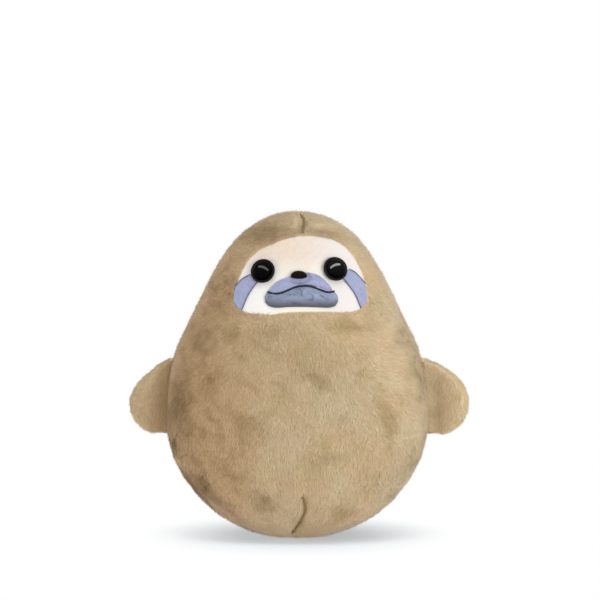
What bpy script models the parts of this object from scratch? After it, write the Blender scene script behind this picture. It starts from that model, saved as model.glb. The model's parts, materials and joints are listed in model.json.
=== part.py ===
# Plush sloth: an egg-shaped stuffed toy with a sewn face and two short arms.
# Metres, +Z up, face towards -Y, standing on the XY plane with its centre over the origin.
import math

import bmesh
import bpy
import numpy as np
from mathutils import Vector

# Clearance between pieces that touch
fit_gap = 0.0003

# Body
body_height = 0.300
body_width = 0.240
body_depth = 0.164
base_flat_cut = 0.0005
plush_thickness = 0.0030
seam_draw = 0.0015
section_power = 2.2
body_rows = 18
body_column_step_deg = 10.0
seam_column_deg = 2.5
pellet_bag_height = 0.0365
pellet_bag_slack = 0.0006

# Height up the body and half width there, as shares of the height and of the half width
front_outline_shares = [
    (0.0, 0.0), (0.0123, 0.285), (0.031, 0.418), (0.0675, 0.595), (0.104, 0.704), (0.160, 0.831),
    (0.215, 0.914), (0.270, 0.973), (0.312, 0.995), (0.359, 1.0), (0.436, 0.992), (0.512, 0.966),
    (0.583, 0.920), (0.656, 0.827), (0.730, 0.738), (0.804, 0.648), (0.859, 0.568), (0.914, 0.468),
    (0.951, 0.366), (0.969, 0.291), (0.988, 0.178), (1.0, 0.0),
]
# Height up the body and half depth there, as shares of the height and of the half depth
side_outline_shares = [
    (0.0, 0.0), (0.0123, 0.425), (0.031, 0.605), (0.0675, 0.765), (0.104, 0.850), (0.160, 0.925),
    (0.215, 0.965), (0.300, 1.0), (0.420, 0.990), (0.512, 0.950), (0.656, 0.825), (0.730, 0.745),
    (0.804, 0.660), (0.859, 0.585), (0.914, 0.485), (0.951, 0.390), (0.969, 0.315), (0.988, 0.205),
    (1.0, 0.0),
]

# Face panel, set into the front panel
face_width = 0.1221
face_height = 0.0689
face_crown_gap = 0.0217
face_base_height = body_height - face_crown_gap - face_height
face_bow = 0.0013
face_side_shift = 0.0026
face_drop = 0.0008
face_thickness = 0.0017
face_columns = 18
face_rows = 6
cut_overrun = 0.020

# Face outlines, across from the face's middle and up from its base, as shares of its width and height
face_top_shares = [
    (-0.500, 0.180), (-0.478, 0.364), (-0.436, 0.547), (-0.393, 0.680), (-0.342, 0.783),
    (-0.256, 0.863), (-0.120, 0.959), (0.018, 1.0), (0.130, 0.992), (0.214, 0.966), (0.308, 0.900),
    (0.359, 0.812), (0.410, 0.694), (0.448, 0.577), (0.483, 0.357), (0.500, 0.239),
]
face_low_shares = [
    (-0.500, 0.180), (-0.487, 0.122), (-0.436, 0.055), (-0.316, 0.0), (-0.068, 0.033), (0.128, 0.037),
    (0.299, 0.027), (0.402, 0.041), (0.461, 0.086), (0.492, 0.151), (0.500, 0.239),
]
lip_top_shares = [
    (-0.237, 0.279), (-0.222, 0.327), (-0.171, 0.408), (-0.085, 0.474), (-0.003, 0.522), (0.060, 0.524),
    (0.128, 0.496), (0.188, 0.416), (0.235, 0.320), (0.248, 0.284),
]
mouth_shares = [
    (-0.237, 0.279), (-0.205, 0.252), (-0.163, 0.257), (-0.102, 0.290), (-0.051, 0.333), (0.0, 0.354),
    (0.060, 0.354), (0.128, 0.320), (0.171, 0.286), (0.210, 0.268), (0.248, 0.284),
]
chin_shares = [
    (-0.237, 0.279), (-0.258, 0.235), (-0.261, 0.185), (-0.250, 0.130), (-0.220, 0.095),
    (-0.171, 0.081), (-0.111, 0.090), (0.0, 0.099), (0.128, 0.088), (0.222, 0.086), (0.262, 0.110),
    (0.278, 0.170), (0.272, 0.235), (0.248, 0.284),
]
patch_upper_shares = {
    "left": [(-0.372, 0.496), (-0.412, 0.460), (-0.453, 0.408), (-0.472, 0.357)],
    "right": [(0.363, 0.560), (0.396, 0.535), (0.430, 0.478), (0.458, 0.425)],
}
patch_lower_shares = {
    "left": [(-0.325, 0.408), (-0.368, 0.313), (-0.402, 0.210), (-0.420, 0.137), (-0.432, 0.080)],
    "right": [(0.330, 0.445), (0.376, 0.343), (0.417, 0.239), (0.439, 0.151), (0.453, 0.100)],
}
patch_end_shares = {
    "left": [(-0.432, 0.080), (-0.472, 0.130), (-0.487, 0.185), (-0.483, 0.270), (-0.472, 0.357)],
    "right": [(0.453, 0.100), (0.477, 0.155), (0.486, 0.239), (0.476, 0.330), (0.458, 0.425)],
}

# Cloth pieces sewn over the face panel
patch_thickness = 0.0008
patch_columns = 10
patch_rows = 4
lip_edge_thickness = 0.0012
upper_lip_puff = 0.0042
lower_lip_puff = 0.0060
lip_columns = 18
lip_rows = 6
puff_power = 0.6

# Threads
mouth_thread_radius = 0.00065
patch_thread_radius = 0.00035
dart_thread_radius = 0.0005
dart_groove_radius = 0.0014
dart_thread_sink = 0.0003
closing_thread_radius = 0.0004
closing_stitch_half_width = 0.0018
closing_stitch_pitch = 0.0050
closing_seam_bottom = 0.110
closing_seam_top = 0.190
mouth_points = 26
patch_thread_points = 12
dart_points = 12

# Darts, across from the body's middle and up, as shares of the body's width and height
crown_dart_shares = [(0.010, 0.9955), (0.024, 0.985), (0.026, 0.965), (0.021, 0.953), (0.019, 0.943)]
base_dart_shares = [
    (0.010, 0.153), (0.024, 0.142), (0.032, 0.124), (0.031, 0.105), (0.023, 0.079), (0.006, 0.055),
    (-0.005, 0.041), (-0.012, 0.027), (-0.015, 0.017),
]

# Eyes, with their places as shares of the face's width and height
eye_place_shares = {"left": (-0.278, 0.550), "right": (0.260, 0.575)}
eye_rim_radius = 0.0113
eye_rim_thickness = 0.0024
eye_rim_round = 0.0008
eye_dome_radius = 0.0088
eye_dome_height = 0.0058
eye_dome_edge = 0.0008
eye_stem_radius = 0.0022
eye_stem_length = 0.0120
eye_segments = 24
dome_rings = 5

# Nose
nose_place_share = (-0.011, 0.4795)
nose_width = 0.0153
nose_rise = 0.0053
nose_fall = 0.0023
nose_height = 0.0062
nose_edge = 0.0010
nose_stem_radius = 0.0016
nose_stem_length = 0.0090

# Lock washers behind the face
eye_washer_radius = 0.0085
nose_washer_radius = 0.0060
washer_thickness = 0.0014
washer_set_back = 0.0011
washer_segments = 20
pocket_clearance = 0.0006

# Arms
arm_reach = 0.0376
arm_root_length = 0.0722
arm_root_place_share = 0.316
arm_root_bottom = arm_root_place_share * body_height
arm_half_thickness = 0.0130
arm_cloth_thickness = 0.0020
arm_edge_half = 0.0008
arm_root_slope_share = 0.62
arm_bead_radius = 0.0009
arm_rows = 14
arm_columns = 6
arm_core_rows = 10
arm_core_columns = 4
arm_round_power = 2.6
arm_end_power = 0.35
arm_blend_power = 4.0
arm_core_out_shares = (0.30, 0.84)
arm_core_end_share = 0.12
arm_core_slack = 0.0003

# Arm outline from the top of the root round the tip to its bottom: out, and up, as shares
arm_outline_shares = [
    (0.0, 1.0), (0.25, 0.920), (0.50, 0.835), (0.72, 0.730), (0.88, 0.610), (0.975, 0.500),
    (1.0, 0.415), (0.965, 0.290), (0.86, 0.180), (0.68, 0.075), (0.42, 0.010), (0.20, 0.0), (0.0, 0.0),
]

# Colours in linear light, with roughness
finishes = {
    "plush": ((0.49, 0.37, 0.22), 0.95),
    "cream": ((0.87, 0.79, 0.69), 0.90),
    "blue": ((0.37, 0.43, 0.64), 0.90),
    "slate": ((0.27, 0.33, 0.47), 0.90),
    "navy": ((0.008, 0.017, 0.052), 0.60),
    "blue_thread": ((0.13, 0.19, 0.33), 0.70),
    "brown_thread": ((0.10, 0.075, 0.045), 0.80),
    "black": ((0.004, 0.004, 0.005), 0.08),
    "rim": ((0.016, 0.012, 0.011), 0.45),
    "nose": ((0.013, 0.007, 0.008), 0.25),
    "washer": ((0.80, 0.80, 0.78), 0.50),
    "fibre": ((0.90, 0.90, 0.88), 1.00),
    "pellets": ((0.60, 0.58, 0.54), 0.80),
}
smooth_below_deg = 40.0

sides = {"left": -1, "right": 1}


# Curves through hand-chosen points

def smooth_values(places, values, at):
    # cubic Hermite through the values, with the slopes of their neighbours
    places = np.array(places, dtype=float)
    values = np.array(values, dtype=float)
    slopes = np.gradient(values, places)
    k = np.clip(np.searchsorted(places, at, side="right") - 1, 0, len(places) - 2)
    span = places[k + 1] - places[k]
    t = (at - places[k]) / span
    rise = values[k + 1] - values[k]
    bend_in = slopes[k] * span - rise
    bend_out = rise - slopes[k + 1] * span
    return values[k] + t * rise + t * (1 - t) * (bend_in * (1 - t) + bend_out * t)


def smooth_path(points, count):
    # evenly spaced points along a smooth curve through the given ones
    points = np.array(points, dtype=float)
    steps = np.linalg.norm(np.diff(points, axis=0), axis=1)
    lengths = np.concatenate([[0.0], np.cumsum(steps)])
    at = np.linspace(0.0, lengths[-1], count)
    columns = [smooth_values(lengths, points[:, axis], at) for axis in range(points.shape[1])]
    return np.stack(columns, axis=1)


# Body surface

def half_size(outline_shares, height_share, half):
    # the square of a rounded outline runs straight into its poles, so the squares are smoothed
    heights = [row[0] for row in outline_shares]
    squares = [row[1] ** 2 for row in outline_shares]
    return half * math.sqrt(max(float(smooth_values(heights, squares, height_share)), 0.0))


def height_share_of(z):
    return min(max((z + base_flat_cut) / (body_height + base_flat_cut), 0.0), 1.0)


def half_width_at(z):
    return half_size(front_outline_shares, height_share_of(z), body_width / 2)


def half_depth_at(z):
    return half_size(side_outline_shares, height_share_of(z), body_depth / 2)


def rounded(value, power):
    return math.copysign(abs(value) ** power, value)


def body_surface(angle_deg, z):
    # angle 0 looks along -Y, and 90 along +X
    angle = math.radians(angle_deg)
    power = 2 / section_power
    across = half_width_at(z) * rounded(math.sin(angle), power)
    along = -half_depth_at(z) * rounded(math.cos(angle), power)
    return Vector((across, along, z))


def outward(angle_deg, z):
    # outward direction of the body's surface at an angle and a height
    angle = math.radians(angle_deg)
    power = 2 - 2 / section_power
    direction = Vector((rounded(math.sin(angle), power) / half_width_at(z), 0.0, 0.0))
    direction.y = -rounded(math.cos(angle), power) / half_depth_at(z)
    low = body_surface(angle_deg, z - base_flat_cut / 2)
    high = body_surface(angle_deg, z + base_flat_cut / 2)
    up = high - low
    direction.z = -(direction.x * up.x + direction.y * up.y) / up.z
    return direction.normalized()


def front_depth(x, z):
    # how far forwards the body's front lies at a place across and up
    share = min(abs(x) / half_width_at(z), 1.0)
    return -half_depth_at(z) * (1 - share ** section_power) ** (1 / section_power)


def front_outward(x, z):
    # outward direction of the body's front at a place across and up
    here = Vector((x, front_depth(x, z), z))
    across = Vector((x + fit_gap, front_depth(x + fit_gap, z), z)) - here
    up = Vector((x, front_depth(x, z + fit_gap), z + fit_gap)) - here
    return across.cross(up).normalized()


def front_point(x, z, lift):
    # a point of the body's front, lifted along its outward direction
    return Vector((x, front_depth(x, z), z)) + front_outward(x, z) * lift


def face_point(x, z, lift):
    # a point lifted as far, but straight forwards, so that the edges of the face's pieces face each other
    return Vector((x, front_depth(x, z) + lift / front_outward(x, z).y, z))


# Solids from rows of points

def add_object(name, mesh, finish_name, parent=None):
    obj = bpy.data.objects.new(name, mesh)
    bpy.context.scene.collection.objects.link(obj)
    obj.parent = parent
    colour, roughness = finishes[finish_name]
    material = bpy.data.materials.new(name)
    material.use_nodes = True
    shader = material.node_tree.nodes["Principled BSDF"]
    shader.inputs["Base Color"].default_value = (*colour, 1.0)
    shader.inputs["Roughness"].default_value = roughness
    shader.inputs["Metallic"].default_value = 0.0
    mesh.materials.append(material)
    mesh.shade_smooth()
    mesh.set_sharp_from_angle(angle=math.radians(smooth_below_deg))
    return obj


def add_cutter(name, mesh):
    cutter = bpy.data.objects.new(name, mesh)
    bpy.context.scene.collection.objects.link(cutter)
    cutter.hide_render = True
    cutter.display_type = "WIRE"
    return cutter


def cut(obj, cutter):
    change = obj.modifiers.new(cutter.name, "BOOLEAN")
    change.operation = "DIFFERENCE"
    change.solver = "EXACT"
    change.object = cutter


def finished_mesh(name, form):
    bmesh.ops.recalc_face_normals(form, faces=form.faces)
    mesh = bpy.data.meshes.new(name)
    form.to_mesh(mesh)
    form.free()
    return mesh


def add_face(form, corners):
    kept = [corner for n, corner in enumerate(corners) if corner not in corners[:n]]
    if len(kept) > 2:
        form.faces.new(kept)


def put_rows(form, rows):
    # a row of one point is a pole, shared by every column
    made = []
    columns = max(len(row) for row in rows)
    for row in rows:
        points = [form.verts.new(point) for point in row]
        made.append(points if len(points) == columns else points * columns)
    return made


def skin_between(form, rows, closed):
    columns = len(rows[0])
    for low, high in zip(rows[:-1], rows[1:]):
        for n in range(columns if closed else columns - 1):
            after = (n + 1) % columns
            add_face(form, [low[n], low[after], high[after], high[n]])


def sheet_mesh(name, outer_rows, inner_rows):
    # a cloth between two surfaces, closed along its edges
    form = bmesh.new()
    outer = put_rows(form, outer_rows)
    inner = put_rows(form, inner_rows)
    skin_between(form, outer, False)
    skin_between(form, inner, False)
    for end in (0, -1):
        skin_between(form, [[row[end] for row in outer], [row[end] for row in inner]], False)
        skin_between(form, [outer[end], inner[end]], False)
    return finished_mesh(name, form)


def ring_mesh(name, rings, hollow=False):
    # a closed form of rings, with a pole or a flat cap at each end, or joined into a hollow ring
    form = bmesh.new()
    made = put_rows(form, rings)
    skin_between(form, made + made[:1] if hollow else made, True)
    for ring, points in ((rings[0], made[0]), (rings[-1], made[-1])):
        if len(ring) > 1 and not hollow:
            form.faces.new(points)
    return finished_mesh(name, form)


def tube_mesh(name, points, radius, side_steps=1):
    # a round thread along the points, with filled ends
    curve = bpy.data.curves.new(name, "CURVE")
    curve.dimensions = "3D"
    curve.bevel_depth = radius
    curve.bevel_resolution = side_steps
    curve.use_fill_caps = True
    spline = curve.splines.new("POLY")
    spline.points.add(len(points) - 1)
    for place, point in zip(spline.points, points):
        place.co = (*point, 1.0)
    guide = bpy.data.objects.new(name + "_path", curve)
    bpy.context.scene.collection.objects.link(guide)
    evaluated = guide.evaluated_get(bpy.context.evaluated_depsgraph_get())
    mesh = bpy.data.meshes.new_from_object(evaluated)
    bpy.data.objects.remove(guide)
    return mesh


# Body pieces

def body_heights():
    turns = [math.pi * row / body_rows for row in range(1, body_rows)]
    return [0.0] + [body_height * (1 - math.cos(turn)) / 2 for turn in turns]


def panel_angles(first_deg, last_deg):
    # evenly spaced columns, with one more close to the seam at each end
    count = round((last_deg - first_deg) / body_column_step_deg)
    between = [first_deg + body_column_step_deg * n for n in range(1, count)]
    return [first_deg, first_deg + seam_column_deg, *between, last_deg - seam_column_deg, last_deg]


def seam_pull(angle_deg, seams_deg):
    near = [seam for seam in seams_deg if abs(angle_deg - seam) < seam_column_deg / 2]
    return seam_draw if near else 0.0


def body_row(angles, z, inset, seams_deg):
    row = []
    for angle in angles:
        depth = inset + seam_pull(angle, seams_deg)
        row.append(body_surface(angle, z) - outward(angle, z) * depth)
    return row


def level_row(angles, z, inset, seams_deg):
    # a row of the inset surface whose points all lie at one height
    row = []
    for angle in angles:
        depth = inset + seam_pull(angle, seams_deg)
        at = z
        for _ in range(body_rows):
            at = z + outward(angle, at).z * depth
        point = body_surface(angle, at) - outward(angle, at) * depth
        point.z = z
        row.append(point)
    return row


def base_rows(angles, inset, seams_deg):
    # the middle of the flat base and the ring round it
    ring = body_row(angles, 0.0, inset, seams_deg)
    for point in ring:
        point.z = inset
    return [[Vector((0.0, 0.0, inset))], ring]


def body_panel(name, first_deg, last_deg, keep_side):
    angles = panel_angles(first_deg, last_deg)
    seams = (first_deg, last_deg)
    layers = []
    for inset in (0.0, plush_thickness):
        rows = base_rows(angles, inset, seams)
        rows += [body_row(angles, z, inset, seams) for z in body_heights()[1:]]
        rows.append([Vector((0.0, 0.0, body_height - inset))])
        for row in rows:
            for point in row:
                keep_side(point)
        layers.append(rows)
    return add_object(name, sheet_mesh(name, *layers), "plush")


def keep_front(point):
    point.y = min(point.y, -fit_gap / 2)


def keep_back_left(point):
    point.y = max(point.y, fit_gap / 2)
    point.x = min(point.x, -fit_gap / 2)


def keep_back_right(point):
    point.y = max(point.y, fit_gap / 2)
    point.x = max(point.x, fit_gap / 2)


def body_filling():
    # the pellet bag fills the skin's base, and the fibre all above it
    inset = plush_thickness + fit_gap
    seams = (-180.0, -90.0, 90.0)
    angles = []
    for first_deg, last_deg in ((-180.0, -90.0), (-90.0, 90.0), (90.0, 180.0)):
        angles += panel_angles(first_deg, last_deg)[:-1]
    slack = inset + pellet_bag_slack
    low = [z for z in body_heights()[1:] if z + inset < pellet_bag_height]
    high = [z for z in body_heights() if z > pellet_bag_height]
    bag = base_rows(angles, inset, seams)
    bag += [body_row(angles, z, inset, seams) for z in low]
    bag.append(level_row(angles, pellet_bag_height, slack, seams))
    fibre = [level_row(angles, pellet_bag_height + fit_gap, slack, seams)]
    fibre += [body_row(angles, z, inset, seams) for z in high]
    fibre.append([Vector((0.0, 0.0, body_height - inset))])
    add_object("pellet_bag", ring_mesh("pellet_bag", bag), "pellets")
    return add_object("body_stuffing", ring_mesh("body_stuffing", fibre), "fibre")


def dart(name, shares, front_panel):
    # a groove in the front panel, with the seam's thread lying in it
    places = [(across * body_width, up * body_height) for across, up in shares]
    line = smooth_path(places, dart_points)
    groove = [front_point(x, z, 0.0) for x, z in line]
    thread = [front_point(x, z, -dart_thread_sink) for x, z in line[1:-1]]
    cut(front_panel, add_cutter(name + "_groove", tube_mesh(name + "_groove", groove, dart_groove_radius)))
    add_object(name + "_stitch", tube_mesh(name + "_stitch", thread, dart_thread_radius), "brown_thread")


def closing_stitch():
    # a ladder stitch to and fro over the centre-back seam
    count = round((closing_seam_top - closing_seam_bottom) / closing_stitch_pitch)
    lift = fit_gap + closing_thread_radius
    points = []
    for n in range(count + 1):
        z = closing_seam_bottom + closing_stitch_pitch * n
        x = closing_stitch_half_width * (-1) ** n
        points.append((x, -front_depth(x, z) + lift - seam_draw / 2, z))
    add_object("closing_stitch", tube_mesh("closing_stitch", points, closing_thread_radius), "brown_thread")


# Face pieces

def face_place(share):
    # the flat-cut outlines bow upwards in the middle of the rounded body
    x = face_side_shift + share[0] * face_width
    z = face_base_height + share[1] * face_height + face_bow * (1 - (2 * share[0]) ** 2)
    return (x, z)


def face_curve(shares, count):
    return smooth_path([face_place(share) for share in shares], count)


def beside(line, distance):
    # the line shifted to its left as it runs
    ahead = np.gradient(line, axis=0)
    left = np.stack([-ahead[:, 1], ahead[:, 0]], axis=1)
    return line + left / np.linalg.norm(left, axis=1)[:, None] * distance


def spanned(low, high, start, end):
    # places inside four edges, as columns that run from the low edge to the high one
    u = np.linspace(0.0, 1.0, len(low))[:, None, None]
    v = np.linspace(0.0, 1.0, len(start))[None, :, None]
    along = low[:, None] * (1 - v) + high[:, None] * v
    across = start[None] * (1 - u) + end[None] * u
    corners = (low[0] * (1 - u) + low[-1] * u) * (1 - v) + (high[0] * (1 - u) + high[-1] * u) * v
    return along + across - corners


def face_cloth(name, finish_name, grid, base_lift, thickness, puff):
    # a piece of cloth over the face, thicker towards its middle by the puff
    columns, rows = grid.shape[:2]
    outer = []
    inner = []
    for c in range(columns):
        u = c / (columns - 1)
        pinched = np.allclose(grid[c, 0], grid[c, -1])
        outer.append([])
        inner.append([])
        for r in range(1 if pinched else rows):
            v = r / (rows - 1)
            swell = puff * (16 * u * (1 - u) * v * (1 - v)) ** puff_power
            x, z = grid[c, r]
            outer[-1].append(face_point(x, z, base_lift + thickness + swell))
            inner[-1].append(face_point(x, z, base_lift))
    return add_object(name, sheet_mesh(name, outer, inner), finish_name)


def face_grid():
    top = face_curve(face_top_shares, face_columns + 1)
    low = face_curve(face_low_shares, face_columns + 1)
    return spanned(low, top, np.tile(low[0], (face_rows + 1, 1)), np.tile(low[-1], (face_rows + 1, 1)))


def face_opening(front_panel):
    # a hole through the front panel, a fit gap wider than the face all round
    grid = face_grid()
    loop = np.concatenate([grid[:, -1], grid[-2:0:-1, 0]])
    ahead = np.roll(loop, -1, axis=0) - np.roll(loop, 1, axis=0)
    left = np.stack([-ahead[:, 1], ahead[:, 0]], axis=1)
    loop = loop + left / np.linalg.norm(left, axis=1)[:, None] * fit_gap
    front = [Vector((x, -body_depth / 2 - cut_overrun, z)) for x, z in loop]
    back = [Vector((x, 0.0, z)) for x, z in loop]
    cut(front_panel, add_cutter("face_opening", ring_mesh("face_opening", [front, back])))


def clear_of_eye(line, side, distance):
    # keep a line of places at least this far outside the eye's rim
    centre = np.array(face_place(eye_place_shares[side]))
    away = line - centre
    length = np.linalg.norm(away, axis=1)[:, None]
    return centre + away * np.maximum((eye_rim_radius + distance) / length, 1.0)


def eye_patch(side):
    low = face_curve(patch_lower_shares[side], patch_columns + 1)
    high = face_curve(patch_upper_shares[side], patch_columns + 1)
    end = face_curve(patch_end_shares[side], patch_rows + 1)
    start = clear_of_eye(np.linspace(low[0], high[0], patch_rows + 1), side, fit_gap)
    low[0] = start[0]
    high[0] = start[-1]
    grid = spanned(low, high, start, end)
    face_cloth(side + "_eye_patch", "blue", grid, fit_gap - face_drop, patch_thickness, 0.0)


def patch_stitches(side):
    # a thread along each long edge of the patch, just outside it, on the face panel
    aside = sides[side] * (patch_thread_radius + fit_gap)
    lift = fit_gap + patch_thread_radius - face_drop
    edges = {"upper": (patch_upper_shares[side], aside), "lower": (patch_lower_shares[side], -aside)}
    for edge, (shares, distance) in edges.items():
        line = beside(face_curve(shares, patch_thread_points), distance)[:-2]
        line = clear_of_eye(line, side, fit_gap + patch_thread_radius)
        path = [face_point(x, z, lift) for x, z in line]
        name = side + "_patch_" + edge + "_stitch"
        add_object(name, tube_mesh(name, path, patch_thread_radius), "blue_thread")


def lip(name, finish_name, mouth_edge, far_shares, puff):
    far = face_curve(far_shares, lip_columns + 1)
    far[0] = mouth_edge[0]
    far[-1] = mouth_edge[-1]
    ends = [np.tile(mouth_edge[n], (lip_rows + 1, 1)) for n in (0, -1)]
    grid = spanned(mouth_edge, far, *ends)
    return face_cloth(name, finish_name, grid, fit_gap - face_drop, lip_edge_thickness, puff)


def muzzle():
    # two padded lips with the mouth's thread in the valley between them
    mouth = face_curve(mouth_shares, lip_columns + 1)
    aside = mouth_thread_radius + fit_gap
    upper = lip("upper_lip", "blue", beside(mouth, aside), lip_top_shares, upper_lip_puff)
    lip("lower_lip", "slate", beside(mouth, -aside), chin_shares, lower_lip_puff)
    lift = fit_gap + mouth_thread_radius - face_drop
    path = [face_point(x, z, lift) for x, z in face_curve(mouth_shares, mouth_points)]
    add_object("mouth_stitch", tube_mesh("mouth_stitch", path, mouth_thread_radius, 2), "navy")
    return upper


# Turned pieces: eyes, rims, nose and washers

def turned(profile, segments, shape=None):
    # rings about +Z, from a profile of radius and height
    rings = []
    for radius, height in profile:
        ring = []
        for n in range(segments if radius else 1):
            turn = 2 * math.pi * n / segments
            x = radius * math.cos(turn)
            y = radius * math.sin(turn)
            ring.append(Vector(shape(x, y, height) if shape else (x, y, height)))
        rings.append(ring)
    return rings


def dome_profile(radius, height, edge, stem_radius, stem_length):
    # a dome over a short straight edge, on a stem
    arcs = [math.pi / 2 * n / dome_rings for n in range(dome_rings + 1)]
    crown = [(radius * math.sin(arc), edge + (height - edge) * math.cos(arc)) for arc in arcs]
    return [*crown, (radius, 0.0), (stem_radius, 0.0), (stem_radius, -stem_length), (0.0, -stem_length)]


def stand_on_face(obj, place, lift):
    # turn an object's +Z along the face's outward direction there, its +Y upwards
    obj.location = front_point(*place, lift)
    obj.rotation_euler = front_outward(*place).to_track_quat("Z", "Y").to_euler()
    return obj


def stem_seat(name, place, stem_radius, stem_end, washer_radius, face, stuffing):
    # a lock washer behind the face, with room for it and the stem in the face and the stuffing
    back = face_drop + face_thickness + washer_set_back
    washer = turned([
        (stem_radius + fit_gap, 0.0), (washer_radius, 0.0), (washer_radius, -washer_thickness),
        (stem_radius + fit_gap, -washer_thickness)], washer_segments)
    stand_on_face(add_object(name + "_washer", ring_mesh(name + "_washer", washer, True), "washer"), place, -back)
    hole = turned([
        (0.0, cut_overrun), (stem_radius + fit_gap, cut_overrun), (stem_radius + fit_gap, -cut_overrun),
        (0.0, -cut_overrun)], washer_segments)
    cut(face, stand_on_face(add_cutter(name + "_hole", ring_mesh(name + "_hole", hole)), place, 0.0))
    wide = washer_radius + pocket_clearance
    narrow = stem_radius + pocket_clearance
    floor = -back - washer_thickness - pocket_clearance
    pocket = turned([
        (0.0, cut_overrun), (wide, cut_overrun), (wide, floor), (narrow, floor),
        (narrow, -stem_end - pocket_clearance), (0.0, -stem_end - pocket_clearance)], washer_segments)
    cut(stuffing, stand_on_face(add_cutter(name + "_pocket", ring_mesh(name + "_pocket", pocket)), place, 0.0))


def eye(side, face, stuffing):
    place = face_place(eye_place_shares[side])
    rim_lift = fit_gap - face_drop
    inner = eye_stem_radius + fit_gap
    rim = turned([
        (inner, 0.0), (eye_rim_radius - eye_rim_round, 0.0), (eye_rim_radius, eye_rim_round),
        (eye_rim_radius, eye_rim_thickness - eye_rim_round),
        (eye_rim_radius - eye_rim_round, eye_rim_thickness), (inner, eye_rim_thickness)], eye_segments)
    stand_on_face(add_object(side + "_eye_rim", ring_mesh(side + "_eye_rim", rim, True), "rim"), place, rim_lift)
    dome_lift = rim_lift + eye_rim_thickness + fit_gap
    profile = dome_profile(eye_dome_radius, eye_dome_height, eye_dome_edge, eye_stem_radius, eye_stem_length)
    dome = ring_mesh(side + "_eye", turned(profile, eye_segments))
    stand_on_face(add_object(side + "_eye", dome, "black"), place, dome_lift)
    end = eye_stem_length - dome_lift
    stem_seat(side + "_eye", place, eye_stem_radius, end, eye_washer_radius, face, stuffing)


def nose_shape(grow):
    # high above its middle line and shallow below, wherever it is wider than the stem
    def shape(x, y, height):
        if math.hypot(x, y) <= nose_stem_radius + grow or height < -grow:
            return (x, y, height)
        half = (nose_rise if y > 0 else nose_fall) + grow
        return (x, y * half / (nose_width / 2 + grow), height)
    return shape


def nose(upper_lip, face, stuffing):
    place = face_place(nose_place_share)
    lift = fit_gap - face_drop
    profile = dome_profile(nose_width / 2, nose_height, nose_edge, nose_stem_radius, nose_stem_length)
    body = ring_mesh("nose", turned(profile, eye_segments, nose_shape(0.0)))
    stand_on_face(add_object("nose", body, "nose"), place, lift)
    wide = nose_width / 2 + fit_gap
    notch = turned([(0.0, cut_overrun), (wide, cut_overrun), (wide, 0.0), (0.0, 0.0)], eye_segments,
                   nose_shape(fit_gap))
    notch = add_cutter("nose_notch", ring_mesh("nose_notch", notch))
    cut(upper_lip, stand_on_face(notch, place, lift - nose_edge))
    stem_seat("nose", place, nose_stem_radius, nose_stem_length - lift, nose_washer_radius, face, stuffing)


# Arms

def seam_reach(z):
    return half_width_at(z) - seam_draw


def arm_hinge(side):
    # the seam's line leans in with the body, and clears it at its fullest place
    top = arm_root_bottom + arm_root_length
    lean = seam_reach(arm_root_bottom) - seam_reach(top)
    reach = 0.0
    for n in range(arm_rows + 1):
        share = n / arm_rows
        reach = max(reach, seam_reach(arm_root_bottom + share * arm_root_length) + share * lean)
    reach += arm_bead_radius + fit_gap
    hinge = bpy.data.objects.new(side + "_arm_hinge", None)
    bpy.context.scene.collection.objects.link(hinge)
    hinge.location = (sides[side] * reach, 0.0, arm_root_bottom)
    hinge.rotation_euler = (0.0, -sides[side] * math.atan2(lean, arm_root_length), 0.0)
    return hinge


def arm_half(out, share_out, share_along):
    # half thickness: thin at the root, full in the middle and round at the edge
    full = arm_half_thickness * (1 - share_out ** arm_round_power) ** 0.5
    full *= (4 * share_along * (1 - share_along)) ** arm_end_power
    wedge = arm_edge_half + arm_root_slope_share * out
    total = (full ** arm_blend_power + wedge ** arm_blend_power) ** (1 / arm_blend_power)
    return arm_edge_half + full * wedge / total


def arm_grid(out_shares, along_shares):
    # places on the arm as (out, up, half thickness), from its root line to its outline
    start = arm_bead_radius + fit_gap
    line = smooth_path(arm_outline_shares, arm_rows * arm_columns + 1)
    grid = []
    for along in along_shares:
        edge_out, edge_up = line[round(along * (len(line) - 1))]
        column = []
        for out_share in out_shares:
            out = out_share * max(edge_out, 0.0) * (arm_reach - start)
            up = ((1 - along) * (1 - out_share) + edge_up * out_share) * arm_root_length
            column.append((start + out, up, arm_half(out, out_share, along)))
        grid.append(column)
    return grid


def arm_sheet(name, finish_name, side, grid, front_of, back_of, hinge):
    layers = []
    for depth in (front_of, back_of):
        rows = [[Vector((sides[side] * out, depth(half), up)) for out, up, half in column] for column in grid]
        for end in (0, -1):
            if (rows[end][0] - rows[end][-1]).length < fit_gap:
                rows[end] = rows[end][:1]
        layers.append(rows)
    return add_object(name, sheet_mesh(name, *layers), finish_name, hinge)


def arm(side):
    hinge = arm_hinge(side)
    grid = arm_grid(np.linspace(0.0, 1.0, arm_columns + 1), np.linspace(0.0, 1.0, arm_rows + 1))
    half_gap = fit_gap / 2
    for label, sign in (("front", -1), ("back", 1)):
        name = side + "_arm_" + label + "_panel"
        arm_sheet(
            name, "plush", side, grid, lambda half: sign * (half_gap + half),
            lambda half: sign * (half_gap + max(half - arm_cloth_thickness, 0.0)), hinge)
    first, last = arm_core_out_shares
    core_out = np.linspace(first, last, arm_core_columns + 1)
    core_along = np.linspace(arm_core_end_share, 1 - arm_core_end_share, arm_core_rows + 1)
    room = arm_cloth_thickness + half_gap + arm_core_slack
    arm_sheet(
        side + "_arm_stuffing", "fibre", side, arm_grid(core_out, core_along),
        lambda half: -max(half - room, half_gap), lambda half: max(half - room, half_gap), hinge)
    bpy.context.view_layer.update()
    ends = [hinge.matrix_world @ Vector((0.0, 0.0, z)) for z in (0.0, arm_root_length)]
    name = side + "_arm_seam"
    add_object(name, tube_mesh(name, ends, arm_bead_radius, 2), "brown_thread")


# The whole toy

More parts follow.
